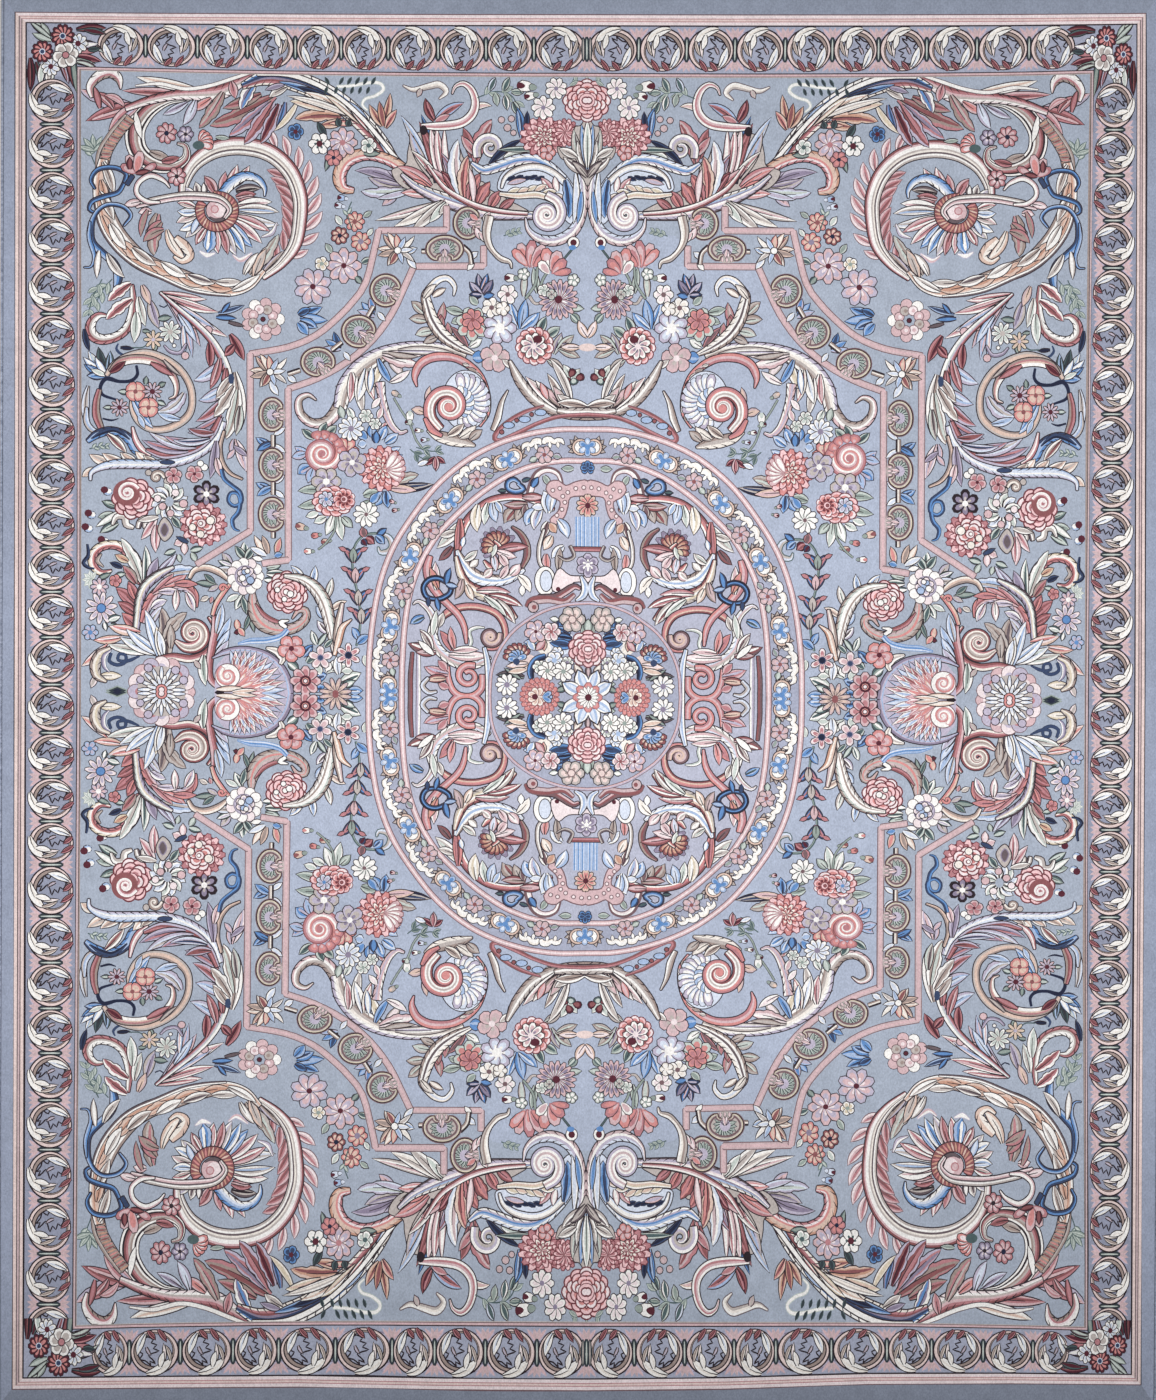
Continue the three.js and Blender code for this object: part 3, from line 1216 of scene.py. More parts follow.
def bud(u, v, angle, length, yarns="ivory wine", width=None, cup="sage"):
    """A closed bud in its cup, with a dark tip."""
    face, tip = yarns.split()
    width = width or length * 0.6
    out = heading(angle)
    petal(u, v, angle, length, width, face)
    end = np.array([u, v]) + out * length * 0.55
    petal(end[0], end[1], angle, length * 0.5, width * 0.62, tip, edge=0)
    petal(u - out[0] * 2, v - out[1] * 2, angle, length * 0.45, width * 0.6, cup, edge=0.6)


# The ground of the inner field goes down first, a paler lot of the same blue, so that the scrolls of
# the outer field can run over its edge.
def inner_ground():
    area([(0, 470), (52, 470), (92, 462), (103, 452), (104, 432), (174, 432), (183, 412), (196, 385),
          (215, 359), (240, 337), (270, 320), (300, 309), (300, 134), (296, 110), (262, 90), (240, 50),
          (236, 0), (0, 0)], "inner")


inner_ground()


# The corner scroll: the great spiral of the design, striped in pink and ivory wool, with an open
# flower of curled feathers inside it and a ring scroll and a hook beside it.
def corner_scroll():
    """The corner's hook, leaf fan, ring scroll and great spiral with its open flower."""
    # the green bud at the edge, the tulip and the small flowers
    sprig([(492, 533), (497, 546), (495, 556)], 1, 9)
    for angle in (60, 95, 130, 165, 35):
        leaf(494, 549, angle, 16, 5, "sage mint sage", edge=0.8, line_yarn="fir")
    # hanging acanthus inside the great spiral, then the spiral's outer feathers
    fingers([(302, 436), (287, 458), (281, 485), (284, 515), (297, 540), (318, 556)], 1, 9, 25,
            "blush pink rose", lean=44, fat=0.36, curl=24, swell=(0.7, 1, 1, 0.9, 0.8), line_yarn="clove")
    fingers([(316, 434), (299, 457), (293, 485), (296, 508), (306, 528)], -1, 8, 24, "pink rose brick",
            lean=34, fat=0.36, curl=-10, swell=(0.7, 0.9, 1, 1, 0.7), line_yarn="clove")
    drawn(blade,
          (338, 424, 309, 464, 12, "stone mint taupe", 14), (334, 422, 322, 450, 9, "peach stone", -14),
          (326, 424, 304, 448, 8, "lilac stone taupe", 10), (344, 424, 330, 446, 7, "stone ivory", -24))
    # the great spiral's band
    stem([(405, 500), (403, 518), (392, 537), (371, 550), (345, 553), (318, 546), (298, 528), (288, 503),
          (288, 478), (293, 454), (307, 435), (325, 421)], [7, 11, 15, 17, 17, 16, 15, 14, 13, 12, 9, 5],
         "brick pink ivory ivory stone cream soft ivory stone", cut=False)
    # the inner open flower: curled feathers, broad ones first
    drawn(blade,
          (372, 505, 383, 523, 10, "pink brick rose", 20), (366, 505, 362, 527, 8, "pink rose", -10),
          (362, 508, 350, 534, 9, "pink ivory rose", 14), (356, 512, 338, 533, 8, "ivory pink rose", 20),
          (390, 500, 392, 517, 8, "ivory stone soft", 30), (394, 498, 402, 512, 8, "ivory lilac stone", 30),
          (384, 504, 384, 516, 6, "soft ivory", 20), (352, 508, 327, 511, 8, "soft stone umber", -20),
          (352, 502, 332, 505, 8, "rose brick pink", -10), (350, 498, 326, 500, 8, "pink brick rose", 14),
          (350, 494, 316, 497, 9, "ivory ivory pink", -14), (350, 490, 309, 487, 9, "ivory stone sky", -20),
          (350, 485, 309, 474, 9, "ivory ice stone", 24), (352, 483, 318, 468, 9, "pink rose ivory", -10),
          (354, 479, 326, 456, 9, "ivory pink rose", -12), (356, 476, 336, 452, 9, "sky blue ice", 10),
          (360, 474, 343, 446, 9, "ivory sky blue", -12), (363, 472, 352, 444, 9, "ivory lilac stone", 14),
          (367, 471, 360, 445, 8, "pink brick rose", -10), (372, 470, 370, 446, 9, "ivory rose pink", 12),
          (377, 470, 380, 446, 13, "sky blue ivory", -10), (382, 472, 392, 455, 8, "pink brick ivory", 10),
          (386, 475, 402, 462, 8, "ivory stone lilac", 14), (389, 479, 408, 469, 8, "ivory ivory sky", -20),
          (391, 483, 411, 477, 8, "ivory pink stone", 24), (391, 488, 410, 488, 8, "ivory sky ice", -24),
          (392, 492, 410, 497, 7, "ivory rose stone", 20), (388, 482, 396, 466, 6, "sky ice", 20))
    stem([(366, 505), (356, 516), (343, 523), (330, 520), (323, 511), (323, 503)], [8, 10, 9, 7, 5, 1],
         "blue sky ice ivory")
    stem([(388, 448), (381, 444), (373, 446)], [1, 4, 1], "ivory", edge=0.7, line_yarn="lilac")
    stem([(355, 444), (347, 439), (336, 446)], [1, 4.4, 1], "ivory pink", edge=0.7, line_yarn="lilac")
    stem([(326, 462), (316, 466), (311, 476)], [1, 4.4, 1], "ivory lilac", edge=0.7, line_yarn="soft")
    rope([(374, 504), (363, 502), (355, 495), (354, 485), (359, 476), (369, 472), (379, 474), (386, 481),
          (388, 491), (385, 497)], 8.4, 4.6, ["brick", "orange", "coral", "orange", "peach"])
    area(oval(371, 489, 11.4), "outline")
    area(oval(371, 489, 10.4), "pink")
    area(oval(369, 489, 7), "blush")
    stem([(378, 482), (372, 479), (364, 481), (361, 489)], [1, 3, 3, 1], "soft", edge=0.5)
    area(oval(373, 490, 4.4), "rose")
    area(oval(373, 490, 3.2), "pink")
    stem([(452, 494), (432, 499), (408, 503), (388, 503), (368, 500), (358, 490), (363, 481)],
         [5, 7, 7, 8, 8, 6, 3], "stone ivory soft pink blush")
    # leaves of the tail below the ring
    for a, b, angle, length, width, yarns, bend in [
        (430, 486, -108, 42, 15, "taupe stone rose", 24),
        (426, 478, -140, 24, 11, "rose taupe", 30),
        (424, 470, -170, 24, 9, "rose taupe", 40),
        (421, 470, -80, 36, 9, "peach cream", 44),
        (447, 498, 188, 17, 7, "pink blush", 10),
        (436, 488, 175, 13, 8, "pink blush", 20),
        (440, 490, 240, 28, 6, "rose taupe", 30),
    ]:
        leaf(a, b, angle, length, width, yarns, bend=bend)
    stem([(412, 462), (402, 452), (398, 443), (406, 438), (414, 443)], [5, 9, 8, 5, 2], "peach cream")
    stem([(418, 512), (424, 519), (437, 524), (449, 517), (451, 506), (441, 498), (428, 497)],
         [1, 4, 4.4, 4.2, 4, 4, 2], "ivory ivory pink")
    # the ring scroll
    stem([(398, 599), (420, 598), (440, 588), (452, 570), (450, 550), (436, 537), (416, 533), (402, 541),
          (402, 553), (410, 556)],
         [3, 8, 14, 18, 19, 18, 16, 11, 7, 2], "ivory outline ivory taupe stone rose brick outline ivory",
         cut=False)
    blade(452, 586, 446, 561, 6, "ivory ivory", 14)
    drawn(blade, (438, 548, 418, 541, 8, "stone taupe", 10), (426, 538, 408, 542, 7, "rose brick", 14))
    bloom(421, 566, 10.5, 8, "rose pink", eye="ink", turn=10)
    bloom(402, 565, 8, 6, "mauve lilac blush", eye="outline")
    bloom(411, 523, 9.5, 7, "rose pink blush", eye="outline", turn=12)
    for angle in (70, 48, 26, 4, -18):
        petal(388, 556, angle, 14, 7, "coral blush")
    area(oval(389, 554, 6, 4.5), "fir")
    leaf(372, 562, -5, 14, 4, "mint sage")
    # the leaf fan and the two long leaves
    for a, b, angle, length, width, yarns, bend in [
        (452, 592, 176, 58, 13, "lilac pink rose", -24),
        (450, 594, 192, 54, 11, "rose brick pink", 10),
        (448, 594, 207, 40, 11, "pink rose lilac", 24),
        (474, 590, 120, 24, 8, "rose brick pink", 40),
        (464, 593, 125, 22, 6, "pink rose pink", 55),
        (488, 590, 100, 22, 6, "brick rose", 10),
        (400, 604, 176, 65, 8, "pink rose brick", 2),
        (392, 609, 172, 60, 9, "ivory cream peach", -6),
    ]:
        leaf(a, b, angle, length, width, yarns, bend=bend)
    stem([(334, 622), (350, 614), (366, 606), (386, 604), (412, 603), (438, 598), (462, 590)],
         [4, 12, 14, 10, 8, 7, 5], "blush ivory stone pink rose brick")
    stem([(330, 627), (352, 620), (378, 612), (402, 609), (428, 614), (452, 612)], [2, 3, 3, 3, 3, 1],
         "ivory", edge=0.7, line_yarn="soft")
    drawn(blade,
          (364, 606, 388, 571, 12, "taupe rose stone", -14), (376, 600, 396, 588, 8, "pink coral", -10),
          (392, 598, 404, 574, 9, "lilac ice", -20), (400, 596, 424, 584, 7, "ice lilac mauve", -10),
          (356, 616, 352, 600, 8, "pink rose"))
    stem([(496, 601), (498, 611), (490, 621), (478, 625), (469, 619), (467, 609)], [3, 7, 9, 10, 8, 1],
         "ivory ivory blush rose taupe")
    # the rope stem down into the body, which is peach under overlapping ivory tongues
    rope([(457, 581), (470, 566), (480, 550), (484, 536)], 10, 3.6, ["taupe", "orange", "brick", "coral"])
    stem([(462, 584), (478, 566), (489, 548), (491, 530), (489, 508)], [2, 3, 3, 3, 2], "stone taupe",
         edge=0.6)
    stem([(484, 540), (487, 520), (486, 500), (481, 482), (473, 466), (462, 452), (450, 441), (434, 432),
          (415, 425), (396, 418), (376, 412), (356, 409), (338, 414), (324, 428)],
         [9, 14, 16, 18, 19, 19, 18, 17, 16, 14, 13, 12, 8, 4],
         "taupe ivory stone peach peach orange peach ivory", cut=False)
    drawn(blade,
          (487, 520, 482, 496, 8, "peach orange", -6), (486, 484, 472, 458, 12, "peach orange peach", 10),
          (466, 458, 446, 439, 12, "peach orange peach", 10),
          (438, 438, 414, 424, 12, "peach orange peach", 8),
          (410, 424, 384, 413, 11, "peach orange peach", 8), (380, 413, 356, 409, 9, "peach orange", 6),
          (485, 538, 474, 506, 9, "ivory taupe stone", -14),
          (488, 508, 474, 480, 9, "ivory stone taupe", -10),
          (478, 476, 462, 450, 10, "ivory ivory stone", 14),
          (456, 452, 432, 434, 10, "ivory stone taupe", 14),
          (426, 437, 402, 422, 10, "ivory ivory stone", 14),
          (400, 424, 374, 415, 9, "ivory stone soft", 12), (372, 417, 346, 417, 8, "ivory stone", 14),
          (356, 408, 328, 424, 8, "ivory ivory stone", 18))
    stem([(493, 500), (489, 478), (480, 460), (466, 444), (448, 431), (426, 421), (402, 410), (380, 405),
          (358, 403)], [2, 3.4, 3.4, 3.4, 3.4, 3.4, 3, 3, 2], "ivory soft", edge=0.7)
    # blue ribbon and long blue leaf along the edge
    stem([(464, 516), (462, 526), (474, 532), (490, 530), (497, 520), (493, 511)],
         [3, 3.4, 3.4, 3.4, 3, 1.5], "navy blue")
    stem([(464, 516), (470, 507), (484, 503), (496, 498), (499, 490), (494, 487)],
         [3, 3.4, 3.6, 3.6, 3, 1.5], "blue navy")
    stem([(464, 474), (457, 484), (465, 493), (480, 495), (491, 488), (497, 474), (496, 458), (485, 446),
          (474, 436), (470, 422), (474, 406)], [1.5, 3, 3, 3, 3.5, 6, 6, 6, 7, 8, 1], "navy blue sky")
    stem([(498, 478), (499, 462), (494, 444), (497, 433), (504, 432)], [1, 3, 3.5, 2, 0.6], "blue sky")
    stem([(455, 524), (461, 515)], [4, 4], "navy")
    petal(450, 525, 118, 22, 10, "pink blush coral")
    petal(452, 525, 78, 24, 10, "pink coral")
    petal(452, 526, 150, 17, 8, "rose pink")
    petal(446, 527, 30, 17, 7, "rose pink")
    leaf(458, 530, 90, 12, 6, "wine brick")
    leaf(452, 526, 12, 14, 5, "wine brick")
    # ivory leaves and twig at the edge
    leaf(481, 446, -70, 30, 8, "ivory stone", bend=30)
    leaf(489, 449, -100, 28, 6, "stone ivory", bend=10)
    sprig([(476, 420), (486, 408), (494, 392)], 3, 12, "sage mint sage")
    sprig([(486, 420), (496, 400), (500, 382)], 3, 11, "mint sage")


corner_scroll()


# The head's arch: one long stem of cream and navy wool that swings from the corner scroll to the long
# centre line, with a fan of acanthus on it and a volute, a peony and small sprays at its end.
def arch():
    """The long arching stem of the head, its acanthus fan and the volute beside the centre line."""
    # leaves behind the arch
    drawn(blade,
          (312, 602, 377, 573, 17, "rose taupe brick", -16),
          (326, 604, 364, 590, 10, "taupe rose brick", -10),
          (318, 596, 358, 563, 13, "lilac rose mauve", -12),
          (314, 596, 343, 555, 15, "lilac brick rose", -8),
          (308, 594, 326, 556, 13, "lilac brick wine", -4),
          (332, 616, 347, 589, 12, "ivory mauve blue", 20), (302, 596, 311, 570, 6, "mauve blue navy", -16),
          (290, 596, 313, 568, 6, "cream straw", -26), (246, 582, 292, 580, 13, "peach orange brick", 26),
          (243, 578, 268, 573, 8, "peach orange brick", -20),
          (262, 588, 297, 597, 9, "cream straw peach", 22), (232, 574, 258, 575, 5, "coral peach", 10))
    stem([(345, 612), (322, 620), (298, 618), (272, 609), (247, 595), (224, 575), (205, 553), (192, 534)],
         [6, 15, 19, 19, 18, 17, 15, 10], "ivory blue navy navy mauve brick rose cream")
    drawn(blade,
          (300, 611, 318, 601, 8, "ivory stone", 20), (303, 613, 322, 608, 5, "lilac mauve", 10),
          (262, 601, 308, 616, 6, "sky blue navy", 10), (255, 598, 290, 611, 5, "navy ink", 10),
          (232, 578, 282, 606, 9, "ivory peach cream", 22),
          (236, 582, 300, 602, 6, "ivory stone cream", 16),
          (228, 575, 262, 603, 7, "straw ivory peach", 20), (222, 572, 248, 601, 5, "cream straw", 14),
          (218, 573, 240, 597, 6, "sky ice", 12), (212, 562, 238, 590, 7, "ivory coral rose", 18),
          (205, 553, 226, 582, 7, "ivory peach", 16), (200, 546, 218, 573, 6, "ivory brick peach", 16),
          (196, 541, 210, 563, 6, "sky ivory", 10), (192, 536, 203, 559, 5, "cream peach", 14))
    stem([(330, 623), (300, 623), (272, 614), (248, 600), (226, 581), (206, 558), (192, 541), (180, 530)],
         [2, 4, 4, 3.4, 3.4, 3.4, 3.4, 3], "ivory")
    # the orange leaf trio above, and the white twigs along the guard
    drawn(blade,
          (205, 572, 218, 593, 7, "peach orange brick", -16),
          (204, 573, 197, 604, 7, "peach orange brick", 14),
          (202, 570, 191, 588, 7, "peach coral brick", -14), (204, 572, 208, 596, 6, "orange brick"))
    stem([(250, 611), (235, 612), (218, 615), (207, 614), (204, 608), (212, 602), (222, 599), (225, 593),
          (220, 588)], [2, 2, 2.2, 2.4, 2.4, 2.4, 2, 2, 1], "ivory", edge=0.7, line_yarn="mint")
    for u in (258, 248, 240, 232, 224, 216):
        leaf(u, 613, 120 if u % 4 else 60, 9, 4, "fir pine", edge=0, line_yarn="fir")
        leaf(u + 2, 611, -110, 8, 4, "fir pine", edge=0)
    stem([(184, 612), (174, 608), (160, 611), (148, 613), (141, 606), (148, 599)], [1, 4, 5, 6, 5, 1],
         "ivory cream stone", edge=0.9, line_yarn="soft")
    blade(166, 609, 170, 601, 5, "dusk stone")
    # the hook and the lilac fingers
    drawn(blade,
          (184, 512, 232, 528, 10, "lilac mauve", 44), (184, 512, 219, 521, 9, "lilac stone mauve", -30),
          (182, 508, 226, 507, 12, "lilac ice mint", -24), (190, 505, 205, 493, 8, "lilac pink"),
          (180, 512, 200, 528, 6, "mauve lilac", 20), (176, 508, 210, 500, 6, "ice lilac", -10))
    stem([(172, 514), (183, 528), (200, 539), (222, 544), (240, 538), (248, 524), (245, 511), (234, 508)],
         [10, 11, 10, 10, 12, 13, 12, 5], "rose blush coral peach peach orange")
    # the acanthus fan, on the mass of leaf behind its blades
    patch([(60, 485), (68, 492), (78, 497), (86, 503), (97, 508), (104, 516), (113, 519), (117, 536),
           (124, 540), (129, 552), (135, 545), (139, 528), (145, 536), (148, 552), (152, 566), (160, 568),
           (168, 566), (176, 562), (180, 546), (182, 534), (196, 528), (186, 512), (160, 503), (130, 492),
           (100, 484)], "stone", edge=1.0)
    drawn(blade,
          (158, 520, 186, 582, 9, "ice sky stone", 22), (156, 520, 178, 566, 9, "stone lilac sky", -14),
          (152, 515, 166, 583, 8, "blue navy ink", 20), (150, 518, 168, 576, 9, "brick rose brick", 16),
          (146, 515, 157, 572, 8, "ivory pink blush", -8), (142, 515, 151, 571, 9, "pink ivory rose", -10),
          (138, 512, 143, 571, 6, "pink ivory", -14), (146, 512, 176, 548, 7, "ivory stone rose", 20),
          (156, 512, 190, 532, 10, "rose pink coral", 26), (158, 507, 184, 517, 10, "coral pink rose", 20),
          (156, 503, 186, 506, 9, "pink coral blush", 10), (132, 505, 163, 532, 9, "pink rose coral", 14),
          (132, 505, 146, 545, 8, "lilac brick mauve", 26), (130, 503, 146, 527, 8, "brick wine rose", 20),
          (126, 502, 130, 558, 14, "ice ivory dusk", -40),
          (124, 500, 120, 542, 12, "peach brick coral", -24),
          (119, 498, 108, 524, 12, "rose brick coral", -14),
          (110, 494, 98, 516, 12, "brick coral rose", -10), (98, 490, 87, 507, 10, "rose brick coral", -12),
          (88, 488, 73, 499, 8, "brick rose", -10), (114, 497, 118, 530, 6, "pink blush", 14))
    stem([(186, 524), (172, 512), (150, 501), (128, 493), (104, 486), (80, 483), (52, 482)],
         [3, 8, 13, 14, 13, 9, 7], "ivory stone sky mauve ivory blush lilac lilac soft")
    stem([(160, 533), (145, 512), (128, 500), (108, 491), (84, 486), (60, 484)], [2, 4, 5, 5, 4, 3],
         "ivory pink brick", edge=0.8)
    # the white leaf below
    drawn(blade,
          (142, 497, 212, 478, 8, "stone ivory pink", -8),
          (145, 497, 193, 472, 10, "ivory cream stone", -16), (144, 497, 176, 468, 10, "ivory stone", -14),
          (142, 496, 158, 476, 8, "ivory mint", -10), (140, 495, 148, 484, 6, "ivory stone", -8))
    # the rose scroll that climbs from the fan
    drawn(blade,
          (153, 577, 162, 599, 8, "brick wine rose", -24), (152, 577, 124, 595, 9, "sky rose brick", -26),
          (152, 577, 138, 583, 6, "pink rose"), (118, 586, 96, 592, 6, "ivory peach pink", -60))
    stem([(166, 572), (145, 572), (126, 575), (115, 584), (112, 596), (116, 608), (124, 614), (132, 611),
          (135, 604)], [4, 7, 8, 8, 8, 7, 6, 4, 1], "ivory pink rose ivory")
    area(oval(164, 568, 4, 5), "umber")
    # the pale swirl with its brown back leaf, and the blue and white leaf to the centre line
    drawn(blade,
          (112, 535, 96, 578, 15, "rose dusk brick", -34), (116, 540, 124, 570, 9, "rose brick", 20),
          (110, 542, 126, 562, 8, "dusk rose", -10))
    stem(coil(97, 550, 16, 3.5, 215, -1.45), [7, 8, 8, 7, 5, 3], "ivory lilac stone", line_yarn="outline")
    patch([(14, 474), (10, 500), (18, 518), (34, 532), (52, 537), (72, 533), (86, 524), (90, 509),
           (78, 506), (70, 510), (60, 506), (48, 508), (34, 503), (26, 494), (24, 480)], "ice", edge=1.0)
    drawn(blade,
          (98, 534, 66, 558, 6, "navy ink", -30), (60, 545, 84, 541, 9, "ivory mint", 14),
          (45, 548, 90, 548, 5, "mint fir", 6))
    stem([(116, 535), (104, 528), (88, 532), (70, 538), (52, 538), (36, 530), (22, 520)],
         [3, 9, 10, 10, 10, 8, 3], "ice ivory sky blue lilac ivory")
    stem([(86, 510), (82, 520), (70, 528), (52, 531), (36, 526), (20, 512), (14, 500)],
         [2, 5, 6, 6, 6, 6, 4], "stone ivory ivory ice")
    for k, u in enumerate((72, 64, 57, 50, 43)):
        leaf(u, 521 + k % 2, 200, 10, 4.4, "navy ink", edge=0.5)
    drawn(blade,
          (62, 518, 80, 514, 5, "pink lilac", 10), (34, 502, 46, 520, 8, "pink rose ivory", 14),
          (30, 506, 33, 521, 6, "pink ivory", -10))
    fingers([(84, 505), (66, 505), (48, 507), (32, 500)], -1, 6, 13, ["ivory straw", "cream peach"],
            lean=26, curl=10, swell=(1, 1, 1))
    stem([(88, 504), (70, 502), (50, 503), (34, 497), (25, 488)], [3, 5, 6, 5, 2],
         "ivory straw peach cream")
    # the volute and the loop that closes it
    stem([(62, 480), (59, 468), (48, 459), (32, 457), (16, 465), (7, 480), (4, 500), (5, 516), (9, 530)],
         [1, 5, 9, 10, 10, 9, 8, 7, 3], "ice lilac ivory dusk")
    drawn(blade,
          (22, 518, 18, 480, 12, "sky blue navy", -20), (12, 524, 14, 474, 6, "ivory ice", -16),
          (6, 506, 10, 474, 5, "sky blue", -10))
    stem(coil(41, 483, 20, 3, 90, -2.2), [8, 9, 9, 9, 8, 7, 6, 4], "lilac ivory dusk ivory", cut=False)
    # the spray over the peony and the two flowers beside it
    sprig([(110, 600), (92, 606), (76, 602), (68, 588)], 3, 12, "mint sage")
    drawn(blade,
          (98, 607, 92, 620, 6, "ice fir"), (84, 607, 78, 620, 6, "mint fir"),
          (76, 606, 64, 605, 6, "mint fir sage"), (92, 604, 90, 592, 6, "mint sage"),
          (82, 602, 80, 588, 6, "ivory fir"), (74, 596, 69, 583, 7, "mint fir"),
          (66, 560, 70, 590, 8, "blue navy sky", 20), (62, 566, 60, 586, 5, "navy ink", 10))
    posy("dusk", (86, 578, 3), (76, 579, 3), (80, 570, 3.4), (74, 565, 2.6))
    bud(52, 610, 172, 18, "ivory wine")
    bud(50, 603, 190, 13, "ivory wine")
    mum(44, 561, 24, squash=0.86)
    mum(22, 565, 14, rows=2)
    bloom(40, 545, 8, 5, "coral pink", eye="brick")
    # the lotus stem on the centre line
    patch([(0, 578), (7, 572), (13, 570), (13, 556), (18, 548), (30, 551), (27, 540), (18, 535), (12, 528),
           (4, 518), (0, 512), (-3, 540)], "stone", edge=1.0)
    drawn(blade,
          (0, 526, 14, 568, 9, "stone mint soft", -30), (0, 526, 10, 556, 7, "ivory stone", -20),
          (0, 524, 24, 540, 9, "stone ivory soft", -20), (0, 520, 15, 536, 7, "soft stone", 20),
          (10, 540, 28, 549, 8, "ivory stone", 10), (0, 528, 6, 573, 7, "sky blue ivory"),
          (0, 530, 0, 578, 8, "ivory mint sky"))
    rose(0, 597, 26, "garnet coral flush", rows=4, count=12, turn=90, squash=0.88)
    bloom(31, 609, 11, 8, "ivory blush", eye="mauve", eye_share=0.2, turn=20)
    bloom(44, 590, 12, 8, "ivory blush", eye="mauve", eye_share=0.2)
    for u, v, angle in ((14, 614, 60), (11, 615, 95), (17, 612, 30), (0, 619, 90)):
        leaf(u, v, angle, 9, 3.4, "mint sage", edge=0.7, line_yarn="fir")
    # the posy under the arch
    drawn(blade,
          (262, 560, 276, 552, 8, "fir pine"), (262, 563, 270, 576, 6, "fir pine"),
          (256, 548, 262, 528, 6, "fir sage"), (224, 545, 208, 545, 6, "fir sage"),
          (240, 572, 238, 579, 6, "fir pine"), (248, 572, 250, 580, 6, "fir pine"))
    drawn(bloom,
          (245, 556, 15, 8, "pink lilac blush", "rose", 0.2),
          (268, 555, 11, 6, "ivory ivory fir", "wine", 0.3), (219, 553, 8, 5, "ivory mint", "fir", 0.3),
          (254, 541, 8.5, 6, "rose coral", "ink", 0.25), (292, 567, 8, 5, "blue navy", "wine", 0.3),
          (244, 433, 18, 8, "pink lilac blush", "wine", 0.16),
          (275, 412, 19, 8, "lilac pink blush", "wine", 0.16, 20),
          (233, 477, 10, 8, "coral peach", "brick", 0.26),
          (248, 463, 9, 7, "brick peach coral", "ink", 0.26),
          (227, 457, 10, 7, "coral peach", "mauve", 0.3), (266, 435, 7, 5, "ivory straw", "sage", 0.3))
    drawn(bud, (241, 500, 172, 9, "sky wine", 6, "ice"), (244, 492, 168, 9, "ice wine", 6, "ice"))
    sprig([(236, 470), (240, 485), (236, 497)], 1, 7, "sage mint")
    drawn(blade,
          (224, 482, 216, 487, 5, "mint sage"), (220, 463, 215, 470, 5, "ivory mint"),
          (246, 474, 252, 483, 6, "ivory mint"), (256, 446, 262, 455, 6, "mint sage"),
          (226, 436, 216, 440, 6, "mint fir"), (232, 422, 226, 415, 6, "fir sage"))


arch()


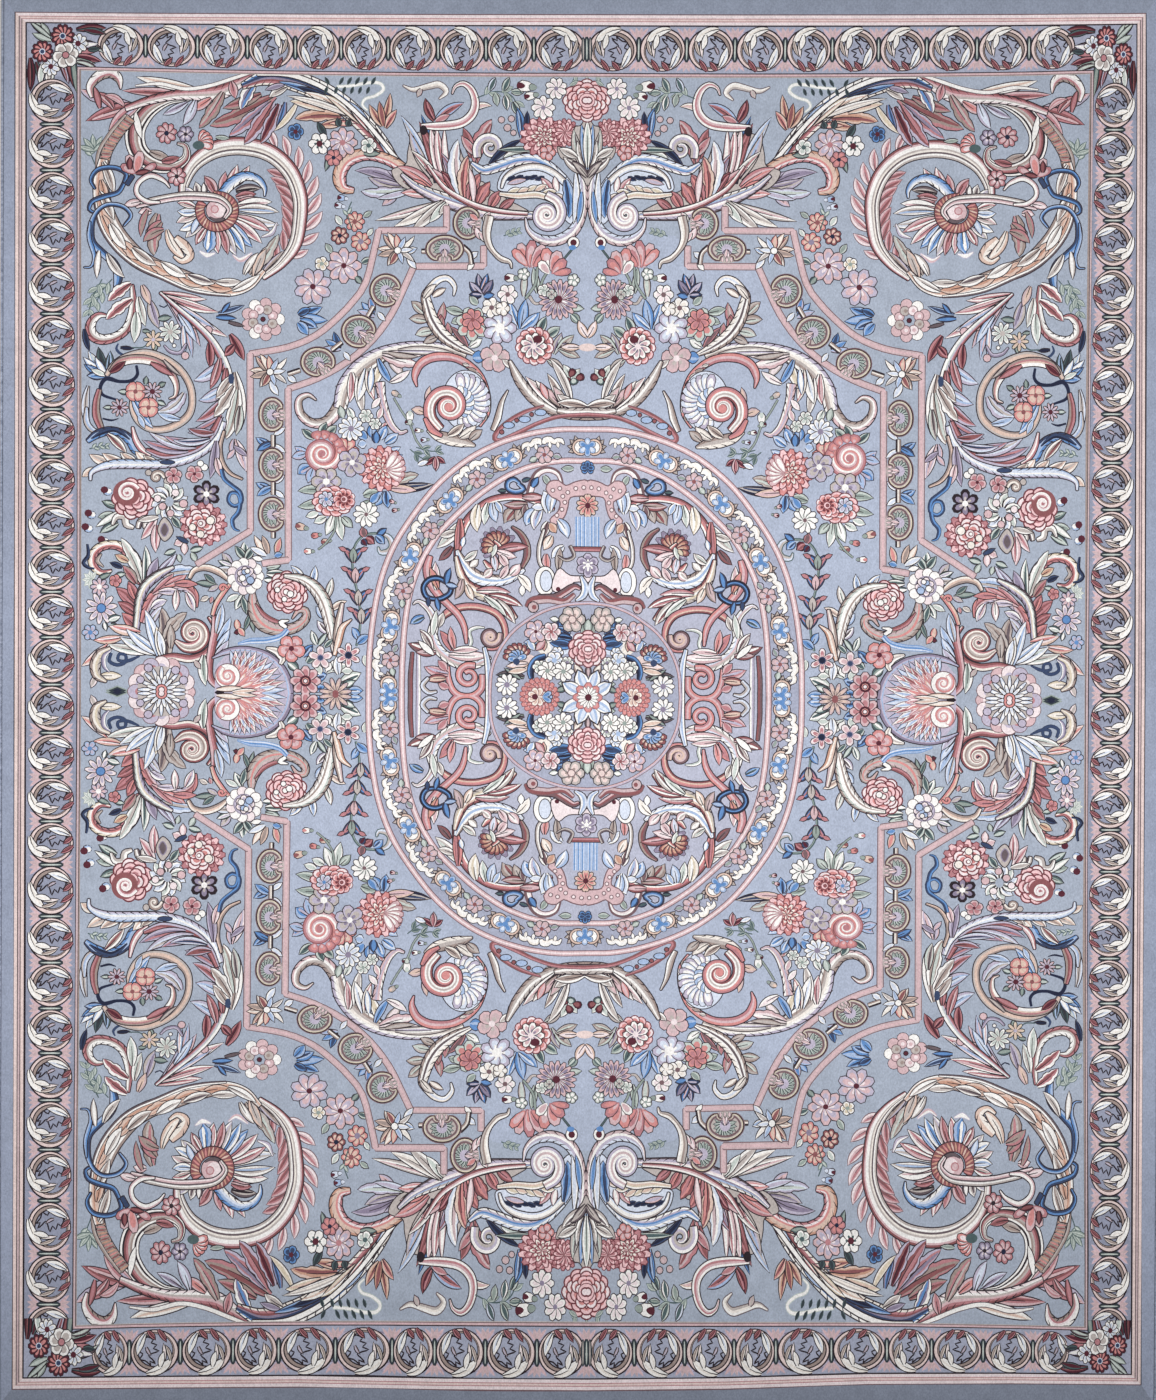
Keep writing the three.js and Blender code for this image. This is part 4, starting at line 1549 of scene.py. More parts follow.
# The side scroll: a ring of acanthus beside the frame that the corner's last curl runs into, with a
# garland below it, all in ivory, rose and lilac wool.
def side_scroll():
    """The ring-shaped scroll beside the frame, with the corner scroll's last curl above it."""
    # the hook that ends the corner scroll, and its leaves
    stem([(479, 382), (489, 383), (496, 377), (498, 368), (494, 361), (485, 358), (472, 361), (462, 369),
          (457, 382), (455, 398), (456, 414)], [1, 6, 9, 10, 9, 8, 8, 7, 6, 5, 3],
         "ivory ivory stone brick rose")
    drawn(blade,
          (457, 416, 480, 398, 12, "ivory rose brick", 14),
          (456, 400, 482, 379, 12, "ivory rose brick", 14), (450, 402, 443, 372, 9, "ivory mint stone", 12),
          (452, 386, 454, 355, 10, "ivory mint", -8), (438, 398, 430, 370, 10, "stone lilac mauve", 10),
          (446, 414, 438, 394, 8, "dusk peach"), (504, 369, 499, 347, 5, "navy ink", 20),
          (468, 350, 455, 349, 3, "ink"))
    stem([(470, 354), (472, 349), (468, 344), (460, 341)], [1.5, 3, 2.6, 1], "navy", edge=0)
    stem([(456, 350), (446, 350), (440, 354)], [1.4, 1.4], "fir", edge=0)
    stem([(429, 393), (424, 391), (420, 394)], [1.4, 1.4], "ink", edge=0)
    drawn(blade,
          (430, 379, 417, 381, 6, "fir sage"), (446, 367, 438, 366, 4, "fir sage"),
          (434, 346, 431, 356, 4, "fir sage"))
    bloom(418, 366, 11.5, 9, "ivory mint", "stone", 0.24, 0, 0.62)
    bloom(435, 358, 9.5, 8, "straw peach", "lilac", 0.2, 0, 0.5)
    posy("ivory", (414, 352, 1.6))
    # the fan at the scroll's start
    drawn(blade,
          (482, 322, 500, 346, 8, "ivory sky mint", -14), (482, 322, 490, 350, 8, "fir pine", -10),
          (481, 322, 478, 346, 8, "fir sky pine", 14), (482, 321, 505, 340, 7, "sky ivory", -10),
          (483, 321, 504, 333, 7, "blue navy sky", -10), (484, 321, 501, 322, 8, "navy sky blue", 16),
          (482, 322, 493, 340, 6, "sky ivory", -8), (483, 322, 497, 328, 5, "ivory mint"))
    # the ring
    stem([(482, 322), (474, 333), (460, 341), (442, 344), (424, 339), (409, 329), (399, 314), (396, 298),
          (399, 284), (409, 274), (423, 268), (438, 268), (450, 276), (457, 290), (457, 300)],
         [4, 6, 7, 8, 7, 6, 6, 6, 6, 7, 7, 6, 6, 5, 1], "stone peach peach taupe")
    stem([(478, 326), (470, 334), (458, 338), (443, 338), (430, 334), (418, 325), (412, 313), (413, 302),
          (419, 299)], [4, 8, 8, 8, 8, 7, 6, 4, 1], "taupe rose peach ivory ivory")
    blade(478, 325, 463, 336, 6, "brick wine", 10)
    drawn(blade, (438, 335, 415, 322, 6, "brick rose"), (425, 338, 408, 322, 4, "soft stone", 14))
    stem([(452, 332), (451, 323), (457, 317), (469, 316), (482, 319), (488, 311), (486, 303), (476, 299),
          (469, 297)], [2, 2.8, 2.8, 2.6, 4, 3.4, 2.6, 2, 1.4], "ink", edge=0.4, line_yarn="navy")
    stem([(486, 279), (477, 277), (470, 279)], [2, 2.4, 1], "ink", edge=0)
    drawn(blade,
          (456, 300, 436, 269, 9, "sky ice blue", 16), (450, 282, 444, 269, 5, "ice sky"),
          (404, 305, 431, 285, 12, "lilac ice stone", -70), (408, 278, 430, 284, 7, "ice sky", -20),
          (459, 305, 470, 306, 5, "fir mint"), (443, 313, 442, 321, 5, "fir sage"),
          (430, 311, 423, 315, 5, "fir sage"), (431, 296, 423, 293, 5, "fir mint"),
          (476, 290, 485, 290, 4, "fir mint"))
    drawn(bloom,
          (453, 306, 10, 4, "coral peach", "brick", 0.24, 45, 1.0),
          (436, 306, 9.5, 10, "pink lilac", "wine", 0.3, 0, 0.5),
          (440, 290, 10, 4, "coral peach", "brick", 0.24, 45, 1.0),
          (469, 290, 9, 10, "pink lilac", "wine", 0.28, 0, 0.5))
    # what ties the ring to the border and to the garland below
    stem([(489, 308), (492, 296), (492, 282), (487, 268)], [4, 6, 7, 5], "taupe brick rose")
    blade(500, 312, 500, 268, 7, "ice stone", 34)
    stem([(502, 290), (502, 276), (496, 267), (487, 265)], [2, 5, 5, 2], "ice sky stone")
    stem([(501, 255), (492, 262), (480, 266), (468, 264), (458, 256), (452, 246), (444, 240)],
         [4, 8, 8, 7, 9, 10, 4], "navy sky sky blue")
    stem([(497, 258), (487, 264), (475, 267), (466, 263), (459, 257)], [1, 4, 4, 3.6, 1], "navy ink",
         edge=0.3)
    stem([(456, 270), (453, 257), (447, 247), (438, 240)], [2, 5, 6, 2], "pink ivory rose")
    drawn(blade,
          (481, 263, 462, 243, 8, "ivory taupe brick", -10),
          (476, 231, 499, 241, 9, "cream peach stone", -20),
          (462, 231, 486, 242, 9, "ivory peach taupe", -20),
          (450, 231, 468, 243, 9, "ivory taupe peach", -16),
          (436, 230, 453, 244, 9, "cream peach ivory", -14), (428, 229, 445, 240, 7, "cream taupe", -10),
          (492, 226, 506, 218, 8, "cream peach", 20))
    sprig([(499, 247), (488, 250), (480, 250)], 3, 6)
    # the fan of feathers that leaves the corner scroll
    drawn(blade,
          (428, 406, 382, 399, 8, "pink ivory rose", 8), (424, 403, 370, 386, 9, "ivory rose pink", 14),
          (424, 402, 396, 341, 8, "lilac sky pink", -40), (420, 400, 388, 352, 9, "pink lilac rose", -14),
          (418, 398, 361, 361, 10, "ivory pink rose", 16), (415, 395, 372, 368, 8, "blush lilac sky", 6),
          (410, 385, 392, 356, 7, "sky ice", -10), (405, 372, 404, 342, 5, "sky ivory pink"))
    posy("pink", (392, 373, 4), (380, 368, 4), (403, 342, 3.6))
    stem([(424, 352), (418, 346), (408, 345), (402, 354)], [1.6, 3, 3, 1.6], "lilac mauve", edge=0.7)
    # the long stem down to the white leaves
    stem([(428, 406), (408, 388), (392, 374), (377, 358), (366, 340), (360, 322), (358, 305)],
         [2, 4, 5, 6, 7, 8, 7], "ivory ivory mint lilac rose brick")
    drawn(blade,
          (379, 355, 378, 330, 8, "rose brick wine", -12), (366, 336, 394, 317, 11, "lilac ice sky", -40),
          (368, 340, 378, 309, 8, "rose brick pink", -16), (362, 312, 389, 297, 11, "lilac sky ice", -36),
          (362, 330, 364, 304, 7, "brick rose"), (362, 302, 392, 276, 10, "lilac rose brick", -40),
          (366, 282, 400, 264, 10, "lilac mauve rose", -40))
    drawn(blade,
          (353, 326, 347, 268, 11, "ivory stone taupe", -14),
          (356, 322, 372, 299, 11, "ivory taupe stone", -10),
          (354, 312, 374, 281, 12, "ivory stone taupe", -14),
          (350, 308, 362, 258, 14, "ivory taupe mint", -14),
          (348, 292, 352, 262, 8, "mint stone soft", -10))
    area(oval(357, 319, 3, 5.4), "navy")
    # the garland below the ring
    stem([(498, 214), (497, 222), (487, 228), (472, 231), (450, 231), (428, 231), (405, 236), (386, 246),
          (372, 260), (366, 276)], [2, 6, 9, 9, 8, 9, 10, 10, 11, 8], "sky ice ice ivory ice lilac")
    area(oval(421, 233, 8, 2.8), "outline")
    area(oval(421, 233, 7, 2), "navy")
    stem([(368, 280), (376, 264), (390, 250), (408, 243), (426, 241), (442, 246)], [4, 7, 8, 8, 8, 3],
         "lilac brick rose brick")
    drawn(blade,
          (400, 245, 446, 256, 9, "lilac mauve rose", -30), (392, 249, 439, 264, 9, "lilac ice stone", -34),
          (384, 254, 424, 260, 8, "lilac rose mauve", -34), (378, 258, 415, 256, 7, "ice lilac navy", -36),
          (374, 264, 400, 268, 8, "lilac brick", -30))
    # bells and curls beside the ribbon
    stem([(364, 266), (368, 250), (366, 234), (358, 222), (346, 216)], [2.6, 3, 3.4, 3, 1.6], "taupe peach")
    drawn(blade,
          (372, 256, 378, 217, 9, "lilac mauve", -12), (372, 238, 368, 219, 7, "blush pink"),
          (354, 258, 356, 240, 8, "pink lilac"), (352, 256, 342, 224, 10, "blush lilac pink", -8),
          (354, 250, 341, 240, 5, "lilac mauve"), (354, 246, 361, 237, 5, "lilac pink"))
    stem([(367, 226), (364, 216), (355, 208), (348, 202), (347, 192), (354, 188), (360, 193), (358, 201),
          (351, 201), (348, 193), (350, 182), (356, 174), (354, 165), (349, 163)],
         [3.4, 3.6, 3.4, 3.4, 3.2, 3, 3, 3, 3, 3.4, 3.6, 3.6, 3.2, 1], "navy blue", edge=0.6,
         line_yarn="ink")
    # the rosette and the small leaves above the frame's shoulder
    for k in range(9):
        at = np.array([325, 379]) + heading(40 * k) * 16
        area(oval(at[0], at[1], 6.4), "outline")
        area(oval(at[0], at[1], 5.8), ("ivory", "pink")[k % 3 > 0])
    for k in range(8):
        at = np.array([325, 379]) + heading(45 * k + 20) * 10.5
        area(oval(at[0], at[1], 5.4), "clove")
        area(oval(at[0], at[1], 4.6), ("pink", "stone", "blush")[k % 3])
        area(oval(at[0] + 0.6, at[1], 2), ("blush", "taupe", "pink")[k % 3])
    posy("wine", (325, 379, 2))
    drawn(blade,
          (372, 381, 352, 380, 5, "navy blue"), (370, 385, 344, 393, 5, "sky navy", 10),
          (366, 386, 358, 396, 4, "navy blue"), (360, 376, 344, 372, 3, "soft"),
          (358, 364, 344, 338, 9, "rose brick wine", -10), (354, 353, 363, 342, 8, "brick rose wine"))


side_scroll()


# The side posy: roses and small flowers in rose, coral and ivory wool, knotted between the garland and
# the middle of the long side.
def side_posy():
    """Roses and smaller flowers between the garland and the side scroll."""
    drawn(blade,
          (470, 170, 488, 160, 8, "fir mint", 10), (472, 178, 490, 176, 8, "mint sage", 10),
          (470, 186, 486, 192, 7, "fir sage mint"), (468, 182, 492, 166, 6, "mint ivory"))
    stem([(476, 168), (472, 176), (464, 176), (462, 168), (455, 165)], [2, 5, 6, 6, 3], "ivory stone")
    rose(455, 195, 21)
    area(oval(462, 201, 13.4), "brick")
    stem(coil(461, 201, 11.5, 1.5, 20, 2.4), [4, 4.2, 3.8, 3], "rose blush ivory", edge=0.8,
         line_yarn="brick")
    stem(coil(432, 217, 8.5, 1, 0, 1.6), [4, 4, 3], "cream taupe", edge=0.9, line_yarn="umber")
    posy("stone", (421, 213, 3.6), (440, 222, 3))
    bloom(415, 219, 8.5, 5, "pink rose", "wine", 0.2, 18, 0.9)
    bloom(394, 221, 9, 5, "pink rose", "wine", 0.2, 54, 0.9)
    posy("ivory", (384, 228, 3.4), (388, 232, 3))
    for k, turn in enumerate(range(0, 360, 30)):
        out = heading(turn)
        leaf(419 + out[0] * 4, 192 + out[1] * 5, turn, 15, 8, ("ivory ice", "ivory mint")[k % 2], bend=40)
    posy("pink", (426, 187, 3.6), (405, 190, 4), (418, 180, 3.4))
    posy("blush", (431, 195, 3.4), (413, 201, 3.6))
    bloom(382, 200, 14, 6, "umber mauve stone", "ivory", 0.22, 30, 0.72)
    mum(385, 169, 24, rows=3, squash=0.94)
    rose(387, 170, 14, "garnet coral blush", 2, "ivory", count=7)
    posy("cream", (378, 173, 4), (396, 166, 3.4), (388, 159, 3.6))
    for u, v, turn in ((484, 204, 150), (500, 180, 170), (503, 166, 180), (487, 153, 200)):
        area(oval(u - 3, v - 2, 5, 4.4), "outline")
        area(oval(u - 3.4, v - 2, 4.2, 3.8), "sky")
        area(oval(u - 4.4, v - 1.4, 2.8, 2.6), "ivory")
        area(oval(u, v, 4, 3.8), "wine")
    stem(coil(441, 168, 10, 2, 200, -1.3), [4, 6, 6, 4], "stone ivory soft")
    drawn(blade,
          (432, 176, 447, 153, 8, "blush pink rose", -14), (432, 168, 433, 140, 9, "pink blush rose", 10),
          (430, 176, 450, 172, 6, "ivory stone"), (416, 176, 408, 165, 7, "mint fir"))
    patch([(424, 176), (431, 163), (424, 151), (415, 162)], "stone")
    patch([(424, 170), (428, 162), (424, 156), (420, 163)], "soft", "mauve")
    drawn(blade,
          (405, 152, 414, 148, 8, "blush pink"), (404, 150, 404, 138, 7, "pink blush"),
          (400, 150, 412, 156, 4, "navy"), (413, 142, 424, 138, 6, "fir mint"),
          (398, 142, 386, 145, 6, "fir mint"), (397, 140, 392, 131, 6, "sage mint"),
          (410, 138, 408, 130, 5, "sage mint"))


side_posy()


# The middle of the long side, where the drawing meets its mirror image: an acanthus in brick and ivory
# wool that rises from a rosette, with a hook, a navy loop, a dark drop and a volute round it.
def side_middle():
    """The acanthus that rises from the rosette at the middle of each long side."""
    # the hook
    stem([(477, 121), (487, 119), (495, 126), (495, 138), (486, 146), (472, 147), (459, 139), (451, 124),
          (448, 108)], [2, 6, 8, 8, 8, 9, 12, 11, 5], "straw cream ivory coral brick rose")
    stem([(485, 125), (491, 131), (487, 138)], [1, 4, 1], "taupe stone", edge=0.8)
    drawn(blade,
          (446, 108, 467, 154, 12, "ivory mint stone", 16), (444, 108, 443, 146, 8, "ivory mint fir", 22),
          (460, 130, 473, 137, 7, "straw orange"), (452, 108, 465, 126, 9, "taupe rose brick", 10),
          (466, 124, 478, 129, 5, "navy ink", 10), (490, 113, 478, 118, 5, "fir sage"),
          (473, 116, 463, 118, 5, "fir mint"))
    stem([(501, 148), (500, 137), (505, 129), (500, 124), (494, 123)], [2, 3.2, 3.4, 3.2, 1.4], "navy ink",
         edge=0.3)
    # flowers at the guard
    for k in range(6):
        leaf(497, 112, 60 + 40 * k, 9, 4, "ivory mint", edge=0.6, line_yarn="sage")
    bloom(489, 105, 9, 8, "lilac pink", "ivory", 0.3, 0, 0.7)
    bloom(473, 111, 6, 5, "coral rose", "brick", 0.3, 0, 0.9)
    bloom(487, 84, 16, 10, "blush lilac pink", "blue", 0.26, 9, 0.62, eye_rim="navy")
    drawn(blade,
          (480, 72, 468, 76, 7, "fir ivory mint"), (478, 68, 470, 64, 6, "fir mint"),
          (484, 70, 482, 62, 5, "fir ivory"))
    bloom(498, 60, 8, 6, "sky lilac", "blue", 0.3, 0, 0.8, 0.8)
    # brick leaves and the main stems
    drawn(blade,
          (452, 86, 472, 104, 11, "rose brick rose", 10), (452, 92, 460, 110, 9, "rose brick coral", 6),
          (452, 78, 470, 90, 9, "brick rose brick", 10), (450, 62, 466, 79, 10, "coral rose brick", 10),
          (440, 108, 431, 134, 9, "lilac mauve", -6), (434, 114, 412, 138, 8, "lilac ice mauve", 10),
          (424, 110, 408, 121, 8, "lilac brick mauve", 6), (428, 116, 390, 122, 12, "ice sky stone", -24))
    stem([(453, 58), (451, 76), (449, 92), (443, 106), (430, 117), (415, 125)], [5, 7, 8, 9, 8, 3],
         "soft mint ivory straw lilac mauve")
    stem([(446, 70), (441, 86), (433, 98), (420, 106), (405, 106), (394, 98), (392, 86)],
         [5, 8, 9, 9, 9, 8, 2], "coral rose brick pink lilac")
    drawn(blade,
          (436, 98, 415, 118, 8, "pink rose", 16), (424, 106, 402, 117, 8, "coral pink rose", 10),
          (414, 108, 391, 108, 7, "coral rose", -16), (430, 100, 408, 100, 7, "blush lilac", -20),
          (412, 102, 413, 82, 7, "pink ivory"), (402, 100, 394, 82, 8, "ivory lilac pink", -6),
          (437, 84, 422, 92, 8, "ivory lilac", -24), (440, 66, 427, 86, 7, "lilac ice stone", -14))
    drawn(blade,
          (448, 60, 479, 66, 10, "peach blush coral", -10), (466, 55, 494, 52, 8, "peach coral blush", -14),
          (436, 40, 482, 48, 9, "ivory mint stone", -14), (432, 38, 468, 55, 9, "ivory ice mint", -12),
          (430, 38, 462, 63, 10, "ice ivory sky", -10), (430, 36, 443, 82, 11, "ice ivory sky", 10),
          (427, 34, 432, 66, 9, "ivory straw ice", 10))
    # curls at the guard, the navy loop and the dark drop
    drawn(blade,
          (480, 48, 506, 26, 9, "blush peach coral", -16), (492, 16, 497, 4, 6, "blush stone"),
          (488, 16, 467, 16, 8, "straw cream"))
    stem([(478, 44), (488, 38), (493, 27), (491, 16), (482, 10)], [3, 9, 10, 8, 2],
         "stone straw cream taupe")
    stem([(477, 42), (484, 36), (484, 26), (479, 20)], [1, 4, 4, 1], "ivory lilac mauve", edge=0.6,
         line_yarn="navy")
    stem([(477, 39), (479, 31), (471, 27), (463, 30), (463, 37), (469, 38), (470, 32), (461, 31),
          (449, 36)], [2.4, 3, 3, 3, 2.6, 2.6, 2.6, 3, 1], "navy", edge=0.4, line_yarn="ink")
    for wide, yarn in ((12, "sage"), (9, "pine"), (5, "ink")):
        area([(471 + wide, 1), (471, 1 + wide * 0.42), (471 - wide, 1), (471, 1 - wide * 0.42)], yarn)
    # the grey leaf and the volute
    drawn(blade,
          (421, 34, 426, 84, 15, "stone taupe soft", 10), (424, 52, 402, 80, 12, "stone taupe stone", -40),
          (418, 44, 418, 68, 8, "taupe stone", 10), (425, 36, 430, 62, 7, "ivory ice", 6))
    stem(coil(396, 60, 19, 3, 205, 1.9), [3, 9, 11, 11, 11, 10, 9, 8, 6, 4],
         "rose cream stone taupe cream brick", cut=False)
    stem([(432, 34), (415, 36), (398, 34), (383, 40), (375, 52), (374, 66), (380, 76)],
         [2, 6, 7, 6, 5, 4, 2], "brick rose cream")
    stem([(368, 3), (378, 14), (379, 30), (376, 48), (373, 64), (375, 80)], [4, 6, 6, 7, 8, 2],
         "pink rose brick")
    drawn(blade,
          (372, 60, 366, 89, 8, "ice sky stone", 10), (371, 52, 358, 76, 7, "ice sky", 20),
          (372, 44, 359, 64, 7, "sky ice", 20), (374, 36, 360, 53, 7, "ice lilac", 20),
          (385, 38, 383, 7, 9, "ivory mint sage", 24), (394, 32, 388, 24, 5, "dusk stone"))
    # the rosette
    for k in range(9):
        at = np.array([427, 2]) + heading(-6 + 24 * k) * 26
        area(oval(at[0], at[1], 8.6), "clove")
        area(oval(at[0], at[1], 7.8), ("pink", "blush", "lilac")[k % 3])
        area(oval(at[0] + (427 - at[0]) * 0.16, at[1] * 0.86, 5), ("blush", "lilac", "rose")[k % 3])
    area(oval(427, 2, 24), "stone")
    drawn(bloom,
          (427, 2, 24, 16, "ice ivory lilac", "sky", 0.3, 0, 0.44),
          (427, 2, 15, 12, "ivory ice", "sky", 0.3, 15, 0.5))
    posy("lilac", (440, 24, 4), (413, 22, 4), (448, 12, 3.6), (405, 12, 4))
    posy("coral", (427, 2, 5.4))
    posy("blush", (427, 2, 2.6))


side_middle()


# The shell lies on the cross centre line: a fan of short rays in four rows over lilac wool, with a
# scroll, a full rose and a white flower above it.
def side_shell():
    """The shell, the scroll with its rose and the white flower beside the middle of the long side."""
    # sprays behind
    drawn(blade,
          (343, 134, 344, 152, 8, "ivory mint fir"), (343, 134, 353, 147, 7, "mint fir"),
          (343, 134, 334, 147, 7, "mint fir"), (357, 128, 366, 140, 7, "lilac stone", 10),
          (355, 126, 370, 132, 6, "fir ivory lilac"), (352, 122, 374, 123, 7, "ice stone", 10),
          (322, 125, 308, 128, 7, "fir mint", 10), (322, 120, 303, 121, 7, "ivory mint fir", 10),
          (324, 114, 310, 112, 6, "fir ivory"), (345, 99, 353, 84, 7, "mint ivory fir", 10),
          (350, 98, 362, 92, 6, "ivory mint", 10), (346, 96, 342, 80, 6, "mint fir", -10),
          (340, 84, 334, 62, 5, "fir sage"), (338, 80, 344, 64, 4, "sage fir"))
    stem([(399, 114), (394, 122), (383, 125), (370, 121), (360, 113)], [3, 5, 6, 6, 3], "cream peach taupe")
    drawn(blade,
          (372, 108, 392, 110, 6, "fir sage"), (374, 110, 384, 118, 5, "sage fir"),
          (370, 107, 380, 102, 5, "lilac stone"), (380, 96, 388, 92, 5, "cream stone"),
          (376, 96, 378, 90, 4, "dusk rose"))
    stem([(376, 78), (372, 90), (364, 102), (357, 110)], [3, 4, 4, 3], "peach coral")
    stem(coil(366, 105, 5, 1, 0, 1.2), [2, 2.4, 2], "coral", edge=0.6)
    drawn(blade,
          (352, 74, 350, 63, 6, "coral peach"), (350, 66, 344, 58, 6, "peach coral"),
          (350, 62, 354, 61, 4, "wine"))
    # the rose in its ring
    stem([(336, 104), (335, 88), (329, 75), (318, 67), (304, 65), (292, 68), (283, 76), (283, 84),
          (290, 84), (296, 76)], [3, 9, 14, 15, 12, 10, 9, 8, 5, 1], "taupe dusk stone coral stone taupe")
    stem([(333, 90), (324, 79), (312, 73), (303, 74)], [1, 4, 4, 1], "brick rose", edge=0.6)
    stem([(302, 67), (308, 72), (300, 74)], [3, 4, 1], "ivory")
    rose(301, 102, 21, "garnet coral flush", 4, "ivory", count=10)
    posy("ivory", (298, 100, 3), (304, 95, 2.4), (311, 104, 2.4))
    # the white flower
    for k in range(11):
        at = np.array([343, 117]) + heading(360 * k / 11) * 13.4
        area(oval(at[0], at[1], 5.9), "soft")
        area(oval(at[0], at[1], 5.1), ("ivory", "ivory", "blush")[k % 3])
    area(oval(343, 117, 11), "mauve")
    area(oval(343, 117, 10), "lilac")
    drawn(bloom, (342, 117, 9.6, 7, "blush lilac", "sky", 0.4, 0, 0.9))
    posy("sky", (338, 113, 3.6), (344, 121, 2.4))
    posy("ivory", (346, 115, 3), (341, 122, 2.2))
    # the shell
    stem([(376, 35), (364, 41), (350, 44), (335, 43), (321, 38), (309, 28), (302, 15), (299, 0)],
         [1, 5, 6, 6, 7, 7, 8, 8], "mauve mauve lilac sky lilac lilac")
    stem([(322, 46), (312, 43), (306, 36), (308, 30)], [2, 6, 7, 3], "cream stone ivory")
    area([(374, 0), (373, 26), (364, 37), (350, 41), (335, 40), (322, 35), (312, 26), (305, 14), (303, 0)],
         "lilac")
    # rows of rays, the longest first: length, width, first angle, step, line, yarns by turns
    for length, width, first, step, line_yarn, yarns in [
        (1.04, 5.4, 96, 8, "outline", ("sky ice", "ivory blush coral", "sky lilac", "ivory pink rose")),
        (0.86, 5.6, 92, 8, "clove", ("ivory rose brick", "ivory ice sky")),
        (0.6, 5, 88, 11, "rose", ("blush rose pink", "ivory coral")),
        (0.4, 5, 80, 15, "rose", ("coral peach blush", "pink coral")),
    ]:
        for k, turn in enumerate(np.arange(first, -1, -step)):
            out = heading(turn)
            leaf(352, 1 + 8 * out[1], turn, math.hypot(out[0] * 48, out[1] * 33) * length, width,
                 yarns[k % len(yarns)], bend=8, edge=0.8, line_yarn=line_yarn,
                 shape=(0.3, 0.5, 0.8, 1.0, 0.9, 0.0))
    area(oval(361, 17, 13), "clove")
    area(oval(361, 17, 12), "ivory")
    stem(coil(361, 17, 10, 1.5, 120, 1.9), [5, 6, 6, 5, 3], "cream ivory pink coral", edge=0.7,
         line_yarn="rose")
    stem([(350, 50), (338, 53), (322, 54), (308, 58), (301, 65)], [1.5, 5, 5, 5, 4], "sky blue ice",
         edge=0.6, line_yarn="blue")
    drawn(blade, (372, 3, 346, 5, 5, "peach cream"), (356, 1, 332, 3, 4, "ivory peach"))
    area(oval(369, 0, 5, 2), "umber")


side_shell()


